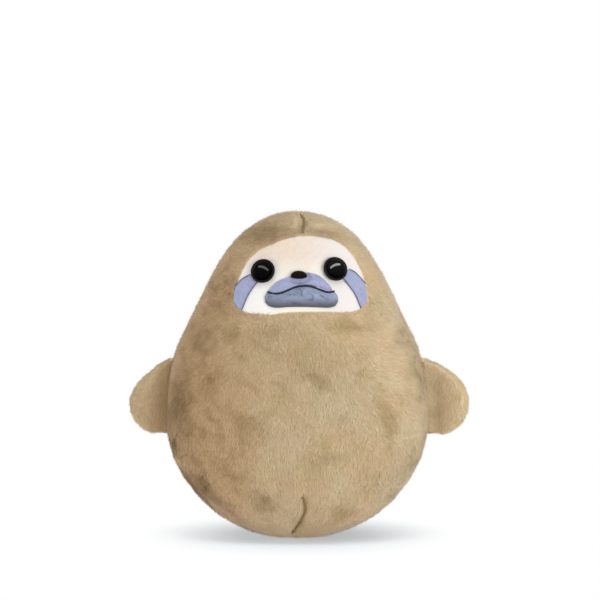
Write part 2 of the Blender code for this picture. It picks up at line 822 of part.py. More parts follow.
def main():
    for obj in list(bpy.data.objects):
        bpy.data.objects.remove(obj)
    front_panel = body_panel("body_front_panel", -90.0, 90.0, keep_front)
    body_panel("body_back_panel_left", -180.0, -90.0, keep_back_left)
    body_panel("body_back_panel_right", 90.0, 180.0, keep_back_right)
    stuffing = body_filling()
    dart("crown_dart", crown_dart_shares, front_panel)
    dart("base_dart", base_dart_shares, front_panel)
    closing_stitch()
    face_opening(front_panel)
    panel_lifts = -face_drop - face_thickness
    face = face_cloth("face_panel", "cream", face_grid(), panel_lifts, face_thickness, 0.0)
    upper_lip = muzzle()
    nose(upper_lip, face, stuffing)
    for side in sides:
        eye_patch(side)
        patch_stitches(side)
        eye(side, face, stuffing)
        arm(side)


main()
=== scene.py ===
import json
import math

import bmesh
import bpy
import numpy as np
from mathutils import Matrix, Vector, noise
from mathutils.bvhtree import BVHTree
from mathutils.kdtree import KDTree


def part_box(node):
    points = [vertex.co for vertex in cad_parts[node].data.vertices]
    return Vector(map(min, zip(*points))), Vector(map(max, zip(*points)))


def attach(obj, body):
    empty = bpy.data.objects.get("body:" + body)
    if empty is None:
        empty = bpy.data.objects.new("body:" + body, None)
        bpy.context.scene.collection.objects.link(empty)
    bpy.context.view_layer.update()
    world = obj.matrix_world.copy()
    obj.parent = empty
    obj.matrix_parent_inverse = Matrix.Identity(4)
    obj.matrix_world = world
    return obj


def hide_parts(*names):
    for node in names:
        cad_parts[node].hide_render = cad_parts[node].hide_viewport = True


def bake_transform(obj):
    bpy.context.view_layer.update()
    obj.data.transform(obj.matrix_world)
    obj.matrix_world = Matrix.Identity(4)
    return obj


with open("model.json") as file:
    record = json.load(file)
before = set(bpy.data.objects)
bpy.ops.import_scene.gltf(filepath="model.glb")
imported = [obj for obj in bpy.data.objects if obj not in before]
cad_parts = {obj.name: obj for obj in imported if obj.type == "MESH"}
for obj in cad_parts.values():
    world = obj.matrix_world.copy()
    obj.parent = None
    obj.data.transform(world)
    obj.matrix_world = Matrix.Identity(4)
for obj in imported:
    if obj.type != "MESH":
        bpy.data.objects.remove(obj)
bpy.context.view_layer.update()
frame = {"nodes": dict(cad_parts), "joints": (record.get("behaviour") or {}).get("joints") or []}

mm = 0.001
fine = 0.1 * mm   # how finely the seams' lines are read
outwards = dict(left=-1, right=1)
noise.seed_set(12)   # the same nap each time
print("frame loaded,", len(frame["nodes"]), "nodes")


# Small helpers

def pick(*pieces):
    # only these stay selected, and the last one is active
    bpy.ops.object.select_all(action="DESELECT")
    for piece in pieces:
        piece.select_set(True)
    bpy.context.view_layer.objects.active = pieces[-1]


def newPiece(name, data):
    piece = bpy.data.objects.new(name, data)
    bpy.context.scene.collection.objects.link(piece)
    return piece


def drop(piece):
    bpy.data.objects.remove(piece, do_unlink=True)


def readAll(items, what, kind=np.float32):
    flat = np.empty(len(items) * 3, kind)
    items.foreach_get(what, flat)
    return flat.reshape(-1, 3)


def places(piece):
    return readAll(piece.data.vertices, "co").astype(float)


def normalsOf(piece):
    return readAll(piece.data.vertex_normals, "vector").astype(float)


def cornersOf(piece):
    piece.data.calc_loop_triangles()
    return readAll(piece.data.loop_triangles, "vertices", np.int32)


def putPlaces(piece, points):
    piece.data.vertices.foreach_set("co", np.asarray(points, np.float32).ravel())
    piece.data.update()


def unit(vectors):
    return vectors / np.maximum(np.linalg.norm(vectors, axis=-1, keepdims=True), 1e-12)


def ease(values, low, high):
    t = np.clip((values - low) / (high - low), 0.0, 1.0)
    return t * t * (3 - 2 * t)


def bell(gaps, width):
    return np.exp(-(gaps / width) ** 2)


def rounded(gaps, width):
    # rises as a quarter of a circle, from 0 at the edge to 1 at this width
    return np.sqrt(1 - (1 - np.clip(gaps / width, 0.0, 1.0)) ** 2)


def clump(points, size, depth=2, shift=0.0):
    # soft noise from about -1 to 1, with lumps of this size
    return np.array([noise.fractal(point, 1.0, 2.0, depth) for point in points / size + shift])


def swirl(points, size, shift):
    return np.array([noise.noise_vector(point) for point in points / size + shift])


def settle(piece, modifier, **settings):
    # adds a modifier and applies it
    change = piece.modifiers.new(modifier.title(), modifier)
    for key, value in settings.items():
        setattr(change, key, value)
    pick(piece)
    bpy.ops.object.modifier_apply(modifier=change.name)


def editAll(piece, *steps):
    # each step is a mesh operator with its settings, and it acts on the whole mesh
    pick(piece)
    bpy.ops.object.mode_set(mode="EDIT")
    for operator, settings in steps:
        bpy.ops.mesh.select_all(action="SELECT")
        operator(**settings)
    bpy.ops.object.mode_set(mode="OBJECT")


def relax(piece, rounds):
    editAll(piece, (bpy.ops.mesh.vertices_smooth, dict(factor=0.5, repeat=rounds)))


def meshCopy(name, *nodeNames):
    # one object with a copy of these nodes' meshes, its loose triangles merged
    twins = [newPiece(nodeName + "Copy", frame["nodes"][nodeName].data.copy()) for nodeName in nodeNames]
    pick(*twins)
    if len(twins) > 1:
        bpy.ops.object.join()
    whole = twins[-1]
    whole.name = name
    whole.data.materials.clear()
    editAll(whole, (bpy.ops.mesh.remove_doubles, dict(threshold=0.002 * mm)))
    return whole


def nodePoints(*nodeNames):
    return np.concatenate([places(frame["nodes"][nodeName]) for nodeName in nodeNames])


def treeOf(points):
    tree = KDTree(len(points))
    for n, point in enumerate(points):
        tree.insert(point, n)
    tree.balance()
    return tree


def nearness(points, tree):
    return np.array([tree.find(point)[2] for point in points])


def surfaceOf(piece):
    corners = cornersOf(piece).tolist()
    return BVHTree.FromPolygons([v.co for v in piece.data.vertices], corners)


def putFinish(piece, material):
    piece.data.materials.clear()
    piece.data.materials.append(mats[material])


def finishPiece(piece, material, body):
    putFinish(piece, material)
    pick(piece)
    bpy.ops.object.shade_smooth()
    if body:
        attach(piece, body)
    return piece


# Colours as seen on screen, red, green and blue from 0 to 255

inks = dict(
    plushLight=(237, 216, 178), plushWarm=(236, 207, 168), plushOlive=(220, 200, 151),
    # painted shade for the pile: its patch tones, its left flank and its tufts' roots
    plushPatchShadeLeft=(158, 126, 86), plushPatchShadeRight=(176, 152, 98), plushFlankShade=(226, 188, 140), plushRootShade=(200, 174, 132),
    cream=(244, 232, 218), creamWarm=(243, 223, 204), creamCool=(238, 236, 236),
    # painted light for the face: whiter low down and on its left, rosier on its right
    creamPaintedLight=(255, 251, 239), creamPaintedLightLeft=(250, 250, 250), creamPaintedRight=(241, 236, 234),
    blue=(168, 178, 211), blueViolet=(174, 175, 212), blueCool=(156, 173, 204),
    # the darkest slate is the lower lip's mottle and also its painted shade underneath
    slate=(146, 157, 185), slateDarkAndShade=(91, 90, 100), slateLight=(160, 173, 203),
    navy=(15, 24, 48), edgeBlue=(80, 92, 126), seamBrown=(154, 128, 80),
    eyeBlack=(1, 1, 1), rimBrown=(26, 21, 20), noseBrown=(22, 13, 14), washer=(232, 232, 228),
    fibre=(240, 240, 237), pellet=(205, 202, 192),
)
plainWhite = (1.0, 1.0, 1.0, 1.0)


def linear(name):
    # a screen colour in the light units that shaders use
    shares = [value / 255 for value in inks[name]]
    return tuple((s / 12.92 if s < 0.04045 else ((s + 0.055) / 1.055) ** 2.4) for s in shares) + (1.0,)


# Node helpers: a value is plain, or comes from another node's socket

def plug(tree, value, socket):
    if hasattr(value, "node"):
        tree.links.new(value, socket)
    else:
        socket.default_value = value


def addNode(tree, kind, settings=None, **values):
    made = tree.nodes.new(kind)
    made.location = (220 * (len(tree.nodes) % 8), -260 * (len(tree.nodes) // 8))
    for key, value in (settings or {}).items():
        setattr(made, key, value)
    for key, value in values.items():
        plug(tree, value, made.inputs[key.replace("_", " ")])
    return made


def joined(tree, kind, *values, **settings):
    made = addNode(tree, kind, settings)
    for socket, value in zip(made.inputs, values):
        plug(tree, value, socket)
    return made.outputs[0]


def sums(tree, operation, *values):
    return joined(tree, "ShaderNodeMath", *values, operation=operation)


def spread(tree, value, fromLow, fromHigh, toLow=0.0, toHigh=1.0):
    ramp = dict(From_Min=fromLow, From_Max=fromHigh, To_Min=toLow, To_Max=toHigh)
    smooth = dict(interpolation_type="SMOOTHSTEP")
    return addNode(tree, "ShaderNodeMapRange", smooth, Value=value, **ramp).outputs["Result"]


def blendInk(tree, factor, a, b, mode="MIX"):
    made = addNode(tree, "ShaderNodeMix", dict(data_type="RGBA", blend_type=mode))
    for n, value in ((0, factor), (6, a), (7, b)):   # the colour sockets of this node
        plug(tree, value, made.inputs[n])
    return made.outputs[2]


def brightened(tree, colour, value):
    return addNode(tree, "ShaderNodeHueSaturation", Color=colour, Value=value).outputs["Color"]


def grain(tree, vector, scale, detail=2.0, rough=0.5, warp=0.0):
    return addNode(tree, "ShaderNodeTexNoise", Vector=vector, Scale=scale, Detail=detail, Roughness=rough,
                   Distortion=warp).outputs["Fac"]


def axesOf(tree, vector):
    return addNode(tree, "ShaderNodeSeparateXYZ", Vector=vector).outputs


# Node groups that several finishes share

def makeGroup(name, wants, gives):
    # an input with no value is a vector, one with four numbers a colour, and the rest are numbers
    group = bpy.data.node_groups.new(name, "ShaderNodeTree")
    for key, value in wants.items():
        kind = "Vector" if value is None else "Color" if value is plainWhite else "Float"
        label = key.replace("_", " ")
        socket = group.interface.new_socket(name=label, in_out="INPUT", socket_type="NodeSocket" + kind)
        if value is not None:
            socket.default_value = value
    for label, kind in gives.items():
        group.interface.new_socket(name=label, in_out="OUTPUT", socket_type="NodeSocket" + kind)
    return group, addNode(group, "NodeGroupInput").outputs, addNode(group, "NodeGroupOutput").inputs


def makeMottle():
    # two drifting tones over a cloth, and patches painted with the shade of nap that lies the other way
    wants = dict(Vector=None, Base=plainWhite, Drift=plainWhite, Patch=plainWhite, Drift_Scale=18.0,
                 Patch_Scale=60.0, Patch_Amount=0.5)
    group, want, give = makeGroup("clothMottle", wants, dict(Color="Color"))
    drift = grain(group, want["Vector"], want["Drift Scale"], warp=0.4)
    patch = grain(group, want["Vector"], want["Patch Scale"], 3.0, warp=0.8)
    toned = blendInk(group, spread(group, drift, 0.35, 0.65), want["Base"], want["Drift"])
    amount = sums(group, "MULTIPLY", spread(group, patch, 0.50, 0.72), want["Patch Amount"])
    plug(group, blendInk(group, amount, toned, want["Patch"]), give["Color"])
    return group


def makeNap():
    # the fine nap of a short-haired cloth: its height for a bump, and painted shade where the nap is low
    wants = dict(Vector=None, Fibre_Scale=900.0, Clump_Scale=260.0, Depth=0.5)
    group, want, give = makeGroup("shortNap", wants, dict(Height="Float", Shade="Float"))
    fibre = grain(group, want["Vector"], want["Fibre Scale"], rough=0.7)
    clumps = grain(group, want["Vector"], want["Clump Scale"], warp=1.2)
    height = sums(group, "ADD", sums(group, "MULTIPLY", fibre, 0.6), sums(group, "MULTIPLY", clumps, 0.9))
    plug(group, height, give["Height"])
    dip = sums(group, "MULTIPLY", spread(group, height, 0.45, 0.95, 1.0, 0.0), want["Depth"])
    plug(group, sums(group, "SUBTRACT", 1.0, dip), give["Shade"])
    return group


def makeTwist():
    # plied thread: ridges that run slantwise round it, with a little fuzz, and painted shade between the
    # ridges
    wants = dict(Vector=None, Ply_Scale=900.0, Slant=0.7)
    group, want, give = makeGroup("threadTwist", wants, dict(Height="Float", Shade="Float"))
    turned = addNode(group, "ShaderNodeVectorRotate", dict(rotation_type="AXIS_ANGLE"), Vector=want["Vector"],
                     Axis=(0.0, 1.0, 0.0), Angle=want["Slant"])
    ply = addNode(group, "ShaderNodeTexWave", dict(bands_direction="X"), Vector=turned.outputs["Vector"],
                  Scale=want["Ply Scale"], Distortion=1.5, Detail=1.0).outputs["Fac"]
    plug(group, ply, give["Height"])
    plug(group, spread(group, ply, 0.0, 1.0, 0.75, 1.0), give["Shade"])
    return group


groups = dict(mottle=makeMottle(), nap=makeNap(), twist=makeTwist())


def useGroup(tree, group, vector, **values):
    return addNode(tree, "ShaderNodeGroup", dict(node_tree=groups[group]), Vector=vector, **values).outputs


# Finishes

clothFinishes = dict(
    backing=dict(name="plushBacking", inks=("plushWarm", "plushLight", "plushOlive"), drift=26.0, patch=60.0,
                 amount=0.5, nap=500.0, depth=0.20, sheen=0.1),
    cream=dict(name="creamCloth", inks=("cream", "creamWarm", "creamCool"), drift=14.0, patch=30.0,
               amount=0.5, nap=700.0, depth=0.10, sheen=0.2),
    blue=dict(name="blueCloth", inks=("blue", "blueViolet", "blueCool"), drift=30.0, patch=85.0,
              amount=0.8, nap=700.0, depth=0.16, sheen=0.2),
    slate=dict(name="slateCloth", inks=("slate", "slateLight", "slateDarkAndShade"), drift=40.0, patch=120.0,
               amount=0.7, nap=700.0, depth=0.22, sheen=0.2),
    fibre=dict(name="fibreFill", inks=("fibre", "fibre", "washer"), drift=30.0, patch=200.0,
               amount=0.4, nap=1500.0, depth=0.20, sheen=0.3),
    pellet=dict(name="pelletCloth", inks=("pellet", "pellet", "washer"), drift=60.0, patch=300.0,
                amount=0.5, nap=1200.0, depth=0.30, sheen=0.1),
)
clothBump = dict(depth=0.35 * mm, strength=0.55)
threadFinishes = dict(
    navy=dict(name="navyThread", ink="navy", ply=1500.0, slant=0.5, roughness=0.45),
    edge=dict(name="edgeThread", ink="edgeBlue", ply=1300.0, slant=0.7, roughness=0.6),
    brown=dict(name="seamThread", ink="seamBrown", ply=1200.0, slant=0.7, roughness=0.8),
)
threadBump = dict(depth=0.12 * mm, strength=0.6)
shellFinishes = dict(
    eye=dict(name="eyeGloss", ink="eyeBlack", roughness=0.09, specular=0.02, wear=0.02),
    rim=dict(name="eyeRimPlastic", ink="rimBrown", roughness=0.42, specular=0.15, wear=0.16),
    nose=dict(name="noseGloss", ink="noseBrown", roughness=0.30, specular=0.06, wear=0.10),
    washer=dict(name="washerPlastic", ink="washer", roughness=0.45, specular=0.5, wear=0.15),
)


def blankMaterial(name, roughness, specular, **plain):
    material = bpy.data.materials.new(name)
    material.use_nodes = True
    tree = material.node_tree
    shader = tree.nodes["Principled BSDF"].inputs
    shader["Roughness"].default_value = roughness
    shader["Specular IOR Level"].default_value = specular
    for key, value in plain.items():
        shader[key.replace("_", " ")].default_value = value
    return material, tree, shader, addNode(tree, "ShaderNodeTexCoord").outputs["Object"]


def bumpFrom(tree, height, shader, bump):
    made = addNode(tree, "ShaderNodeBump", Strength=bump["strength"], Distance=bump["depth"], Height=height)
    plug(tree, made.outputs["Normal"], shader["Normal"])


def pileMaterial():
    # each tuft has painted shade at its root, deep in the pile, and carries its own tone and its patch's
    # painted shade
    sheen = dict(Sheen_Weight=0.28, Sheen_Roughness=0.5)
    material, tree, shader, spot = blankMaterial("plushPile", 0.85, 0.15, **sheen)
    strand = addNode(tree, "ShaderNodeAttribute", dict(attribute_name="strand"))
    along, own, patch = axesOf(tree, strand.outputs["Vector"])
    mottle = useGroup(tree, "mottle", spot, Base=linear("plushLight"), Drift=linear("plushWarm"),
                      Patch=linear("plushOlive"), Drift_Scale=26.0, Patch_Scale=48.0, Patch_Amount=0.75)
    # painted shade: the left flank, away from the key, is warmer and darker; patch shade is browner left,
    # greener right
    across = axesOf(tree, spot)["X"]
    shadedFlank = sums(tree, "MULTIPLY", spread(tree, across, 0.01, -0.11, 0.0, 0.85),
                 spread(tree, across, -0.134, -0.116, 0.15, 1.0))
    withShadedFlank = blendInk(tree, shadedFlank, mottle["Color"], linear("plushFlankShade"))
    shade = blendInk(tree, spread(tree, across, -0.05, 0.05), linear("plushPatchShadeLeft"), linear("plushPatchShadeRight"))
    # each tuft's patch value lays this painted shade over its colour
    darker = blendInk(tree, patch, withShadedFlank, shade)
    rootShaded = blendInk(tree, spread(tree, along, 0.0, 0.5, 0.40, 0.0), darker, linear("plushRootShade"))
    plug(tree, brightened(tree, rootShaded, spread(tree, own, 0.0, 1.0, 0.90, 1.10)), shader["Base Color"])
    return material


def facePaintedLight(tree, spot, colour):
    # painted light: whiter under the eyes, more so on the shaded left; on the right, where the key falls,
    # rosier instead
    across, _, rise = axesOf(tree, spot)
    low = spread(tree, rise, 0.264, 0.240, 0.0, 0.9)
    left = sums(tree, "MULTIPLY", spread(tree, across, 0.005, -0.04, 0.0, 0.85), low)
    paintedLow = blendInk(tree, low, colour, linear("creamPaintedLight"))
    paintedLeft = blendInk(tree, left, paintedLow, linear("creamPaintedLightLeft"))
    return blendInk(tree, spread(tree, across, 0.010, 0.040, 0.0, 0.95), paintedLeft, linear("creamPaintedRight"))


def lipPaintedShade(tree, spot, colour):
    # painted shade: the lower lip darkens downwards, where it turns under, away from the light
    low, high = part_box("lower_lip")
    share = spread(tree, axesOf(tree, spot)["Z"], low.z, low.z + 0.62 * (high.z - low.z), 1.0, 0.0)
    return blendInk(tree, share, colour, linear("slateDarkAndShade"))


def clothMaterial(facts, paintedTones=None):
    material, tree, shader, spot = blankMaterial(facts["name"], 0.92, 0.2, Sheen_Weight=facts["sheen"],
                                                 Sheen_Roughness=0.5)
    base, drift, patch = (linear(ink) for ink in facts["inks"])
    mottle = useGroup(tree, "mottle", spot, Base=base, Drift=drift, Patch=patch, Drift_Scale=facts["drift"],
                      Patch_Scale=facts["patch"], Patch_Amount=facts["amount"])
    weave = dict(Fibre_Scale=facts["nap"], Clump_Scale=facts["nap"] * 0.3, Depth=facts["depth"])
    nap = useGroup(tree, "nap", spot, **weave)
    colour = blendInk(tree, 1.0, mottle["Color"], nap["Shade"], "MULTIPLY")
    plug(tree, paintedTones(tree, spot, colour) if paintedTones else colour, shader["Base Color"])
    bumpFrom(tree, nap["Height"], shader, clothBump)
    return material


def threadMaterial(facts):
    material, tree, shader, spot = blankMaterial(facts["name"], facts["roughness"], 0.4, Sheen_Weight=0.2)
    twist = useGroup(tree, "twist", spot, Ply_Scale=facts["ply"], Slant=facts["slant"])
    plug(tree, blendInk(tree, 1.0, linear(facts["ink"]), twist["Shade"], "MULTIPLY"), shader["Base Color"])
    bumpFrom(tree, twist["Height"], shader, threadBump)
    return material


def shellMaterial(facts):
    # moulded plastic: faint cloudiness in the colour, fine wear in the gloss
    rough = facts["roughness"]
    material, tree, shader, spot = blankMaterial(facts["name"], rough, facts["specular"], Coat_Roughness=0.04)
    cloud = spread(tree, grain(tree, spot, 160.0, 3.0), 0.35, 0.7, 0.85, 1.1)
    plug(tree, brightened(tree, linear(facts["ink"]), cloud), shader["Base Color"])
    worn = spread(tree, grain(tree, spot, 900.0, 4.0, 0.7), 0.4, 0.75, rough, rough + facts["wear"])
    plug(tree, worn, shader["Roughness"])
    return material


# the face's painted light and the lower lip's painted shade go on these cloths
paintedTones = dict(cream=facePaintedLight, slate=lipPaintedShade)
mats = dict(pile=pileMaterial())
mats.update({key: clothMaterial(facts, paintedTones.get(key)) for key, facts in clothFinishes.items()})
mats.update({key: threadMaterial(facts) for key, facts in threadFinishes.items()})
mats.update({key: shellMaterial(facts) for key, facts in shellFinishes.items()})
print("finishes made,", len(mats))


# The body's form: a ball of even squares, laid on the outside of the sewn panels

skin = dict(
    levels=6, heart=(0.0, 0.0, 0.125), smoothing=9, pileHeight=1.1 * mm, faceDrop=3.0 * mm,
    underFace=(0.92, 0.985), sideGroove=0.25 * mm, backGroove=1.0 * mm, dartGroove=1.9 * mm,
    grooveWidth=2.2 * mm, lumpDepth=0.35 * mm, lumpSize=42 * mm,
    puckerDepth=0.14 * mm, puckerPitch=7.5 * mm, puckerReach=13 * mm, puckerSlant=0.6, puckerDrift=2.0,
    puckerDriftSize=20 * mm,
    pressure=4.0, mostSwell=2.2 * mm, leastSwell=0.1, sideBand=32 * mm, frames=20, floorClear=0.4 * mm,
    seamHeld=(1.5 * mm, 5.0 * mm), faceHeld=(1.0, 1.15), footHeld=4 * mm,
    besides=[(0, 0, 0), (0, 0.8 * mm, 0), (0, -0.8 * mm, 0), (0.8 * mm, 0, 0), (-0.8 * mm, 0, 0)],
)
weave = dict(use_pressure=True, tension_stiffness=12.0, compression_stiffness=12.0, bending_stiffness=0.4)
panels = ("body_front_panel", "body_back_panel_left", "body_back_panel_right")


def layBall():
    target = meshCopy("panelTarget", *panels, "face_panel", "body_stuffing", "pellet_bag")
    surface = surfaceOf(target)
    drop(target)
    middle = Vector(skin["heart"])
    bpy.ops.mesh.primitive_cube_add(size=0.1, location=middle)
    ball = bpy.context.view_layer.objects.active
    ball.name = "plush_body"
    settle(ball, "SUBSURF", levels=skin["levels"], render_levels=skin["levels"])
    pick(ball)
    bpy.ops.object.transform_apply(location=True, rotation=True, scale=True)
    points = places(ball)
    for n, way in enumerate(unit(points - np.array(skin["heart"]))):
        way = Vector(way)
        # some rays beside the first one too, which don't fall into the slit between two panels
        hits = [surface.ray_cast(middle + way + Vector(beside), -way)[0] for beside in skin["besides"]]
        points[n] = middle + way * max((hit - middle).length for hit in hits if hit)
    putPlaces(ball, points)
    relax(ball, skin["smoothing"])
    return ball


def inflate(piece, held, facts, mostSwell):
    # blows the cloth up between its sewn lines, and keeps each point near where it was
    start = places(piece)
    sewn = piece.vertex_groups.new(name="sewn")
    for n, share in enumerate(held):
        if share > 0.02:
            sewn.add([n], float(share), "REPLACE")
    cloth = piece.modifiers.new("Cloth", "CLOTH")
    for key, value in weave.items():
        setattr(cloth.settings, key, value)
    cloth.settings.uniform_pressure_force = facts["pressure"]
    cloth.settings.effector_weights.gravity = 0.0
    cloth.settings.vertex_group_mass = sewn.name
    cloth.collision_settings.use_collision = False
    cloth.point_cache.frame_end = facts["frames"]
    for step in range(1, facts["frames"] + 1):
        bpy.context.scene.frame_set(step)
    pick(piece)
    bpy.ops.object.modifier_apply(modifier=cloth.name)
    bpy.context.scene.frame_set(1)
    piece.vertex_groups.clear()
    moved = places(piece) - start
    size = np.linalg.norm(moved, axis=1)
    putPlaces(piece, start + moved * np.minimum(1.0, mostSwell / np.maximum(size, 1e-9))[:, None])


plushBody = layBall()
outerForm = surfaceOf(plushBody)
print("body form laid,", len(plushBody.data.polygons), "faces")


# Outlines and lines read from the frame

def around(angles):
    return np.stack([np.cos(angles), np.sin(angles)], axis=-1)


def outlineOf(nodeName, turns=360):
    # the node's edge as seen from the front: its middle, and how far out it reaches at each turn
    points = nodePoints(nodeName)[:, [0, 2]]
    middle = (points.min(0) + points.max(0)) / 2
    corners = cornersOf(frame["nodes"][nodeName])
    starts = points[corners].reshape(-1, 2) - middle
    ends = points[np.roll(corners, -1, axis=1)].reshape(-1, 2) - middle
    reach = np.zeros(turns)
    for n, way in enumerate(around(2 * math.pi * np.arange(turns) / turns)):
        side = np.array([-way[1], way[0]])
        a, b = starts @ side, ends @ side
        crossing = (a * b <= 0) & (np.abs(a - b) > 1e-9)
        share = a[crossing] / (a[crossing] - b[crossing])
        out = (starts[crossing] + (ends[crossing] - starts[crossing]) * share[:, None]) @ way
        reach[n] = out.max()
    return middle, reach


def softened(reach, rounds):
    for _ in range(rounds):
        reach = 0.5 * reach + 0.25 * (np.roll(reach, 1) + np.roll(reach, -1))
    return reach


def smoothed(line, rounds):
    for _ in range(rounds):
        line[1:-1] = 0.5 * line[1:-1] + 0.25 * (line[:-2] + line[2:])
    return line


def reachAt(reach, angles):
    turns = len(reach)
    at = (angles / (2 * math.pi) * turns) % turns
    low = at.astype(int) % turns
    return reach[low] + (reach[(low + 1) % turns] - reach[low]) * (at - np.floor(at))


def faceShare(points):
    # 0 in the middle of the face's outline, 1 on it and more outside
    away = points[:, [0, -1]] - faceMiddle
    return np.linalg.norm(away, axis=1) / reachAt(faceReach, np.arctan2(away[:, 1], away[:, 0]))


def standing(flat):
    # places across and up, as points of the upright plane through the origin
    return np.insert(flat, 1, 0.0, axis=1)


def centreLine(nodeName, count, axis=0):
    # the middle line of a thin tube that runs along an axis, out to both its ends
    points = nodePoints(nodeName)
    order = points[np.argsort(points[:, axis])]
    line = smoothed(np.array([chunk.mean(0) for chunk in np.array_split(order, count)]), 2)
    first, last = line[0] + 0.5 * (line[0] - line[1]), line[-1] + 0.5 * (line[-1] - line[-2])
    return np.concatenate([[first], line, [last]])


def evenly(line, pitch):
    steps = np.concatenate([[0.0], np.cumsum(np.linalg.norm(np.diff(line, axis=0), axis=1))])
    at = np.arange(0.0, steps[-1], pitch)
    return np.stack([np.interp(at, steps, line[:, n]) for n in range(3)], axis=1)


def onFront(x, z, lift=0.0):
    # a point of the body's front, lifted straight out of the surface
    here, out = outerForm.ray_cast(Vector((x, -1.0, z)), Vector((0.0, 1.0, 0.0)))[:2]
    return np.array(here + out * lift)


def flatPlace(nodeName):
    # the middle of a round flat node, and its axis, which points out of the face
    points = nodePoints(nodeName)
    middle = points.mean(0)
    axis = np.linalg.svd(points - middle, full_matrices=False)[2][2]
    return middle, axis if axis[1] < 0 else -axis


dartFacts = dict(pitch=1.0 * mm, rounds=6, back=3 * mm,
                 runOn=dict(crown=(1.5 * mm, 2.0 * mm), base=(0.0, 4.0 * mm)))


def dartLine(place):
    # a dart's seam, run on a little past the ends of the frame's own
    line = evenly(centreLine(place + "_dart_stitch", 12, 2)[::-1], dartFacts["pitch"])
    line = evenly(smoothed(line, dartFacts["rounds"]), fine)
    back = round(dartFacts["back"] / fine)
    up, down = dartFacts["runOn"][place]
    before = [line[0] + unit(line[0] - line[back]) * fine * n for n in range(round(up / fine), 0, -1)]
    after = [line[-1] + unit(line[-1] - line[-back]) * fine * n for n in range(1, round(down / fine))]
    return np.array([*before, *line, *after])


faceMiddle, faceReach = outlineOf("face_panel")
faceEdge = dict(soften=6, grow=0.9)
faceReach = softened(faceReach, faceEdge["soften"]) + faceEdge["grow"] * mm
dartTree = treeOf(np.concatenate([dartLine(place) for place in dartFacts["runOn"]]))
closingTree = treeOf(nodePoints("closing_stitch"))
eyePlaces = {side: flatPlace(side + "_eye_rim") for side in outwards}


# The body's cloth backing, under the pile

def seamGaps(points):
    # how far off the side seam, the centre back seam and the darts are; only points behind see the second
    back = np.where(points[:, 1] > 0, np.abs(points[:, 0]), 1.0)
    return np.abs(points[:, 1]), back, nearness(points, dartTree)


def shapeSkin(body):
    points = places(body)
    face = faceShare(points)
    front = points[:, 1] < 0
    inFace = np.where(front, 1 - ease(face, *skin["underFace"]), 0.0)
    gaps = seamGaps(points)
    grooves = (skin["sideGroove"], skin["backGroove"], skin["dartGroove"])
    dips = np.max([groove * bell(gap, skin["grooveWidth"]) for groove, gap in zip(grooves, gaps)], axis=0)
    foot = np.where(points[:, 2] < skin["footHeld"], 1.0, 0.0)
    round_ = np.where(front, 1 - ease(face, *skin["faceHeld"]), 0.0)
    sewn = 1 - ease(np.minimum(gaps[1], gaps[2]), *skin["seamHeld"])
    least = skin["leastSwell"]
    most = skin["mostSwell"] * (least + (1 - least) * ease(gaps[0], 0.0, skin["sideBand"]))
    inflate(body, np.max([sewn, inFace, foot, round_], axis=0), skin, most)
    print("body inflated")
    points = places(body)
    lumps = skin["lumpDepth"] * clump(points, skin["lumpSize"])
    drift = skin["puckerDrift"] * clump(points, skin["puckerDriftSize"], 1)
    slanted = points[:, 2] + skin["puckerSlant"] * points[:, 0]
    ripple = np.sin(2 * math.pi * slanted / skin["puckerPitch"] + drift)
    pucker = skin["puckerDepth"] * ripple * bell(np.min(gaps, axis=0), skin["puckerReach"])
    rise = (lumps + pucker - dips - skin["pileHeight"]) * (1 - inFace) - skin["faceDrop"] * inFace
    points += normalsOf(body) * rise[:, None]
    points[:, 2] = np.maximum(points[:, 2], skin["floorClear"])
    putPlaces(body, points)


shapeSkin(plushBody)
skinForm = surfaceOf(plushBody)
finishPiece(plushBody, "backing", "body")
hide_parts(*panels)
print("body skin shaped")


# What is inside: loose fibre under the skins, and a bag of pellets in the base

filling = dict(gap=1.3 * mm, tuftDepth=1.2 * mm, tuftSize=9 * mm, armShare=0.88, armTuft=0.3,
               pelletSize=3.2 * mm, pelletBump=0.5 * mm, bagGap=1.7 * mm, bagVoxel=2.6 * mm, bagRounds=3)


def makeFilling(name, skinPiece, node, body=None):
    # an arm's rides on no body
    fill = newPiece(name, skinPiece.data.copy())
    points = places(fill)
    tufts = np.abs(clump(points, filling["tuftSize"], 3, 4.0))
    if body:
        points -= normalsOf(fill) * (filling["gap"] + filling["tuftDepth"] * tufts)[:, None]
        points[:, 2] = np.maximum(points[:, 2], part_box(node)[0].z)
    else:
        middle = (points.min(0) + points.max(0)) / 2
        share = filling["armShare"]
        points = middle + (points - middle) * (share - filling["armTuft"] * tufts * (1 - share))[:, None]
    putPlaces(fill, points)
    finishPiece(fill, "fibre", body)
    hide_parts(node)
    return fill


def makePelletBag():
    bag = meshCopy("pellet_pouch", "pellet_bag")
    settle(bag, "REMESH", mode="VOXEL", voxel_size=filling["bagVoxel"], use_smooth_shade=True)
    relax(bag, filling["bagRounds"])
    points = places(bag)
    bumps = np.array([noise.voronoi(point)[0][0] for point in points / filling["pelletSize"]])
    points -= normalsOf(bag) * (filling["bagGap"] + filling["pelletBump"] * np.minimum(bumps, 1.0))[:, None]
    putPlaces(bag, points)
    finishPiece(bag, "pellet", "body")
    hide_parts("pellet_bag")


makeFilling("body_fibre_fill", plushBody, "body_stuffing", "body")
makePelletBag()
print("stuffing and pellets made")


# Arms: each one is remeshed from its sewn halves and blown up

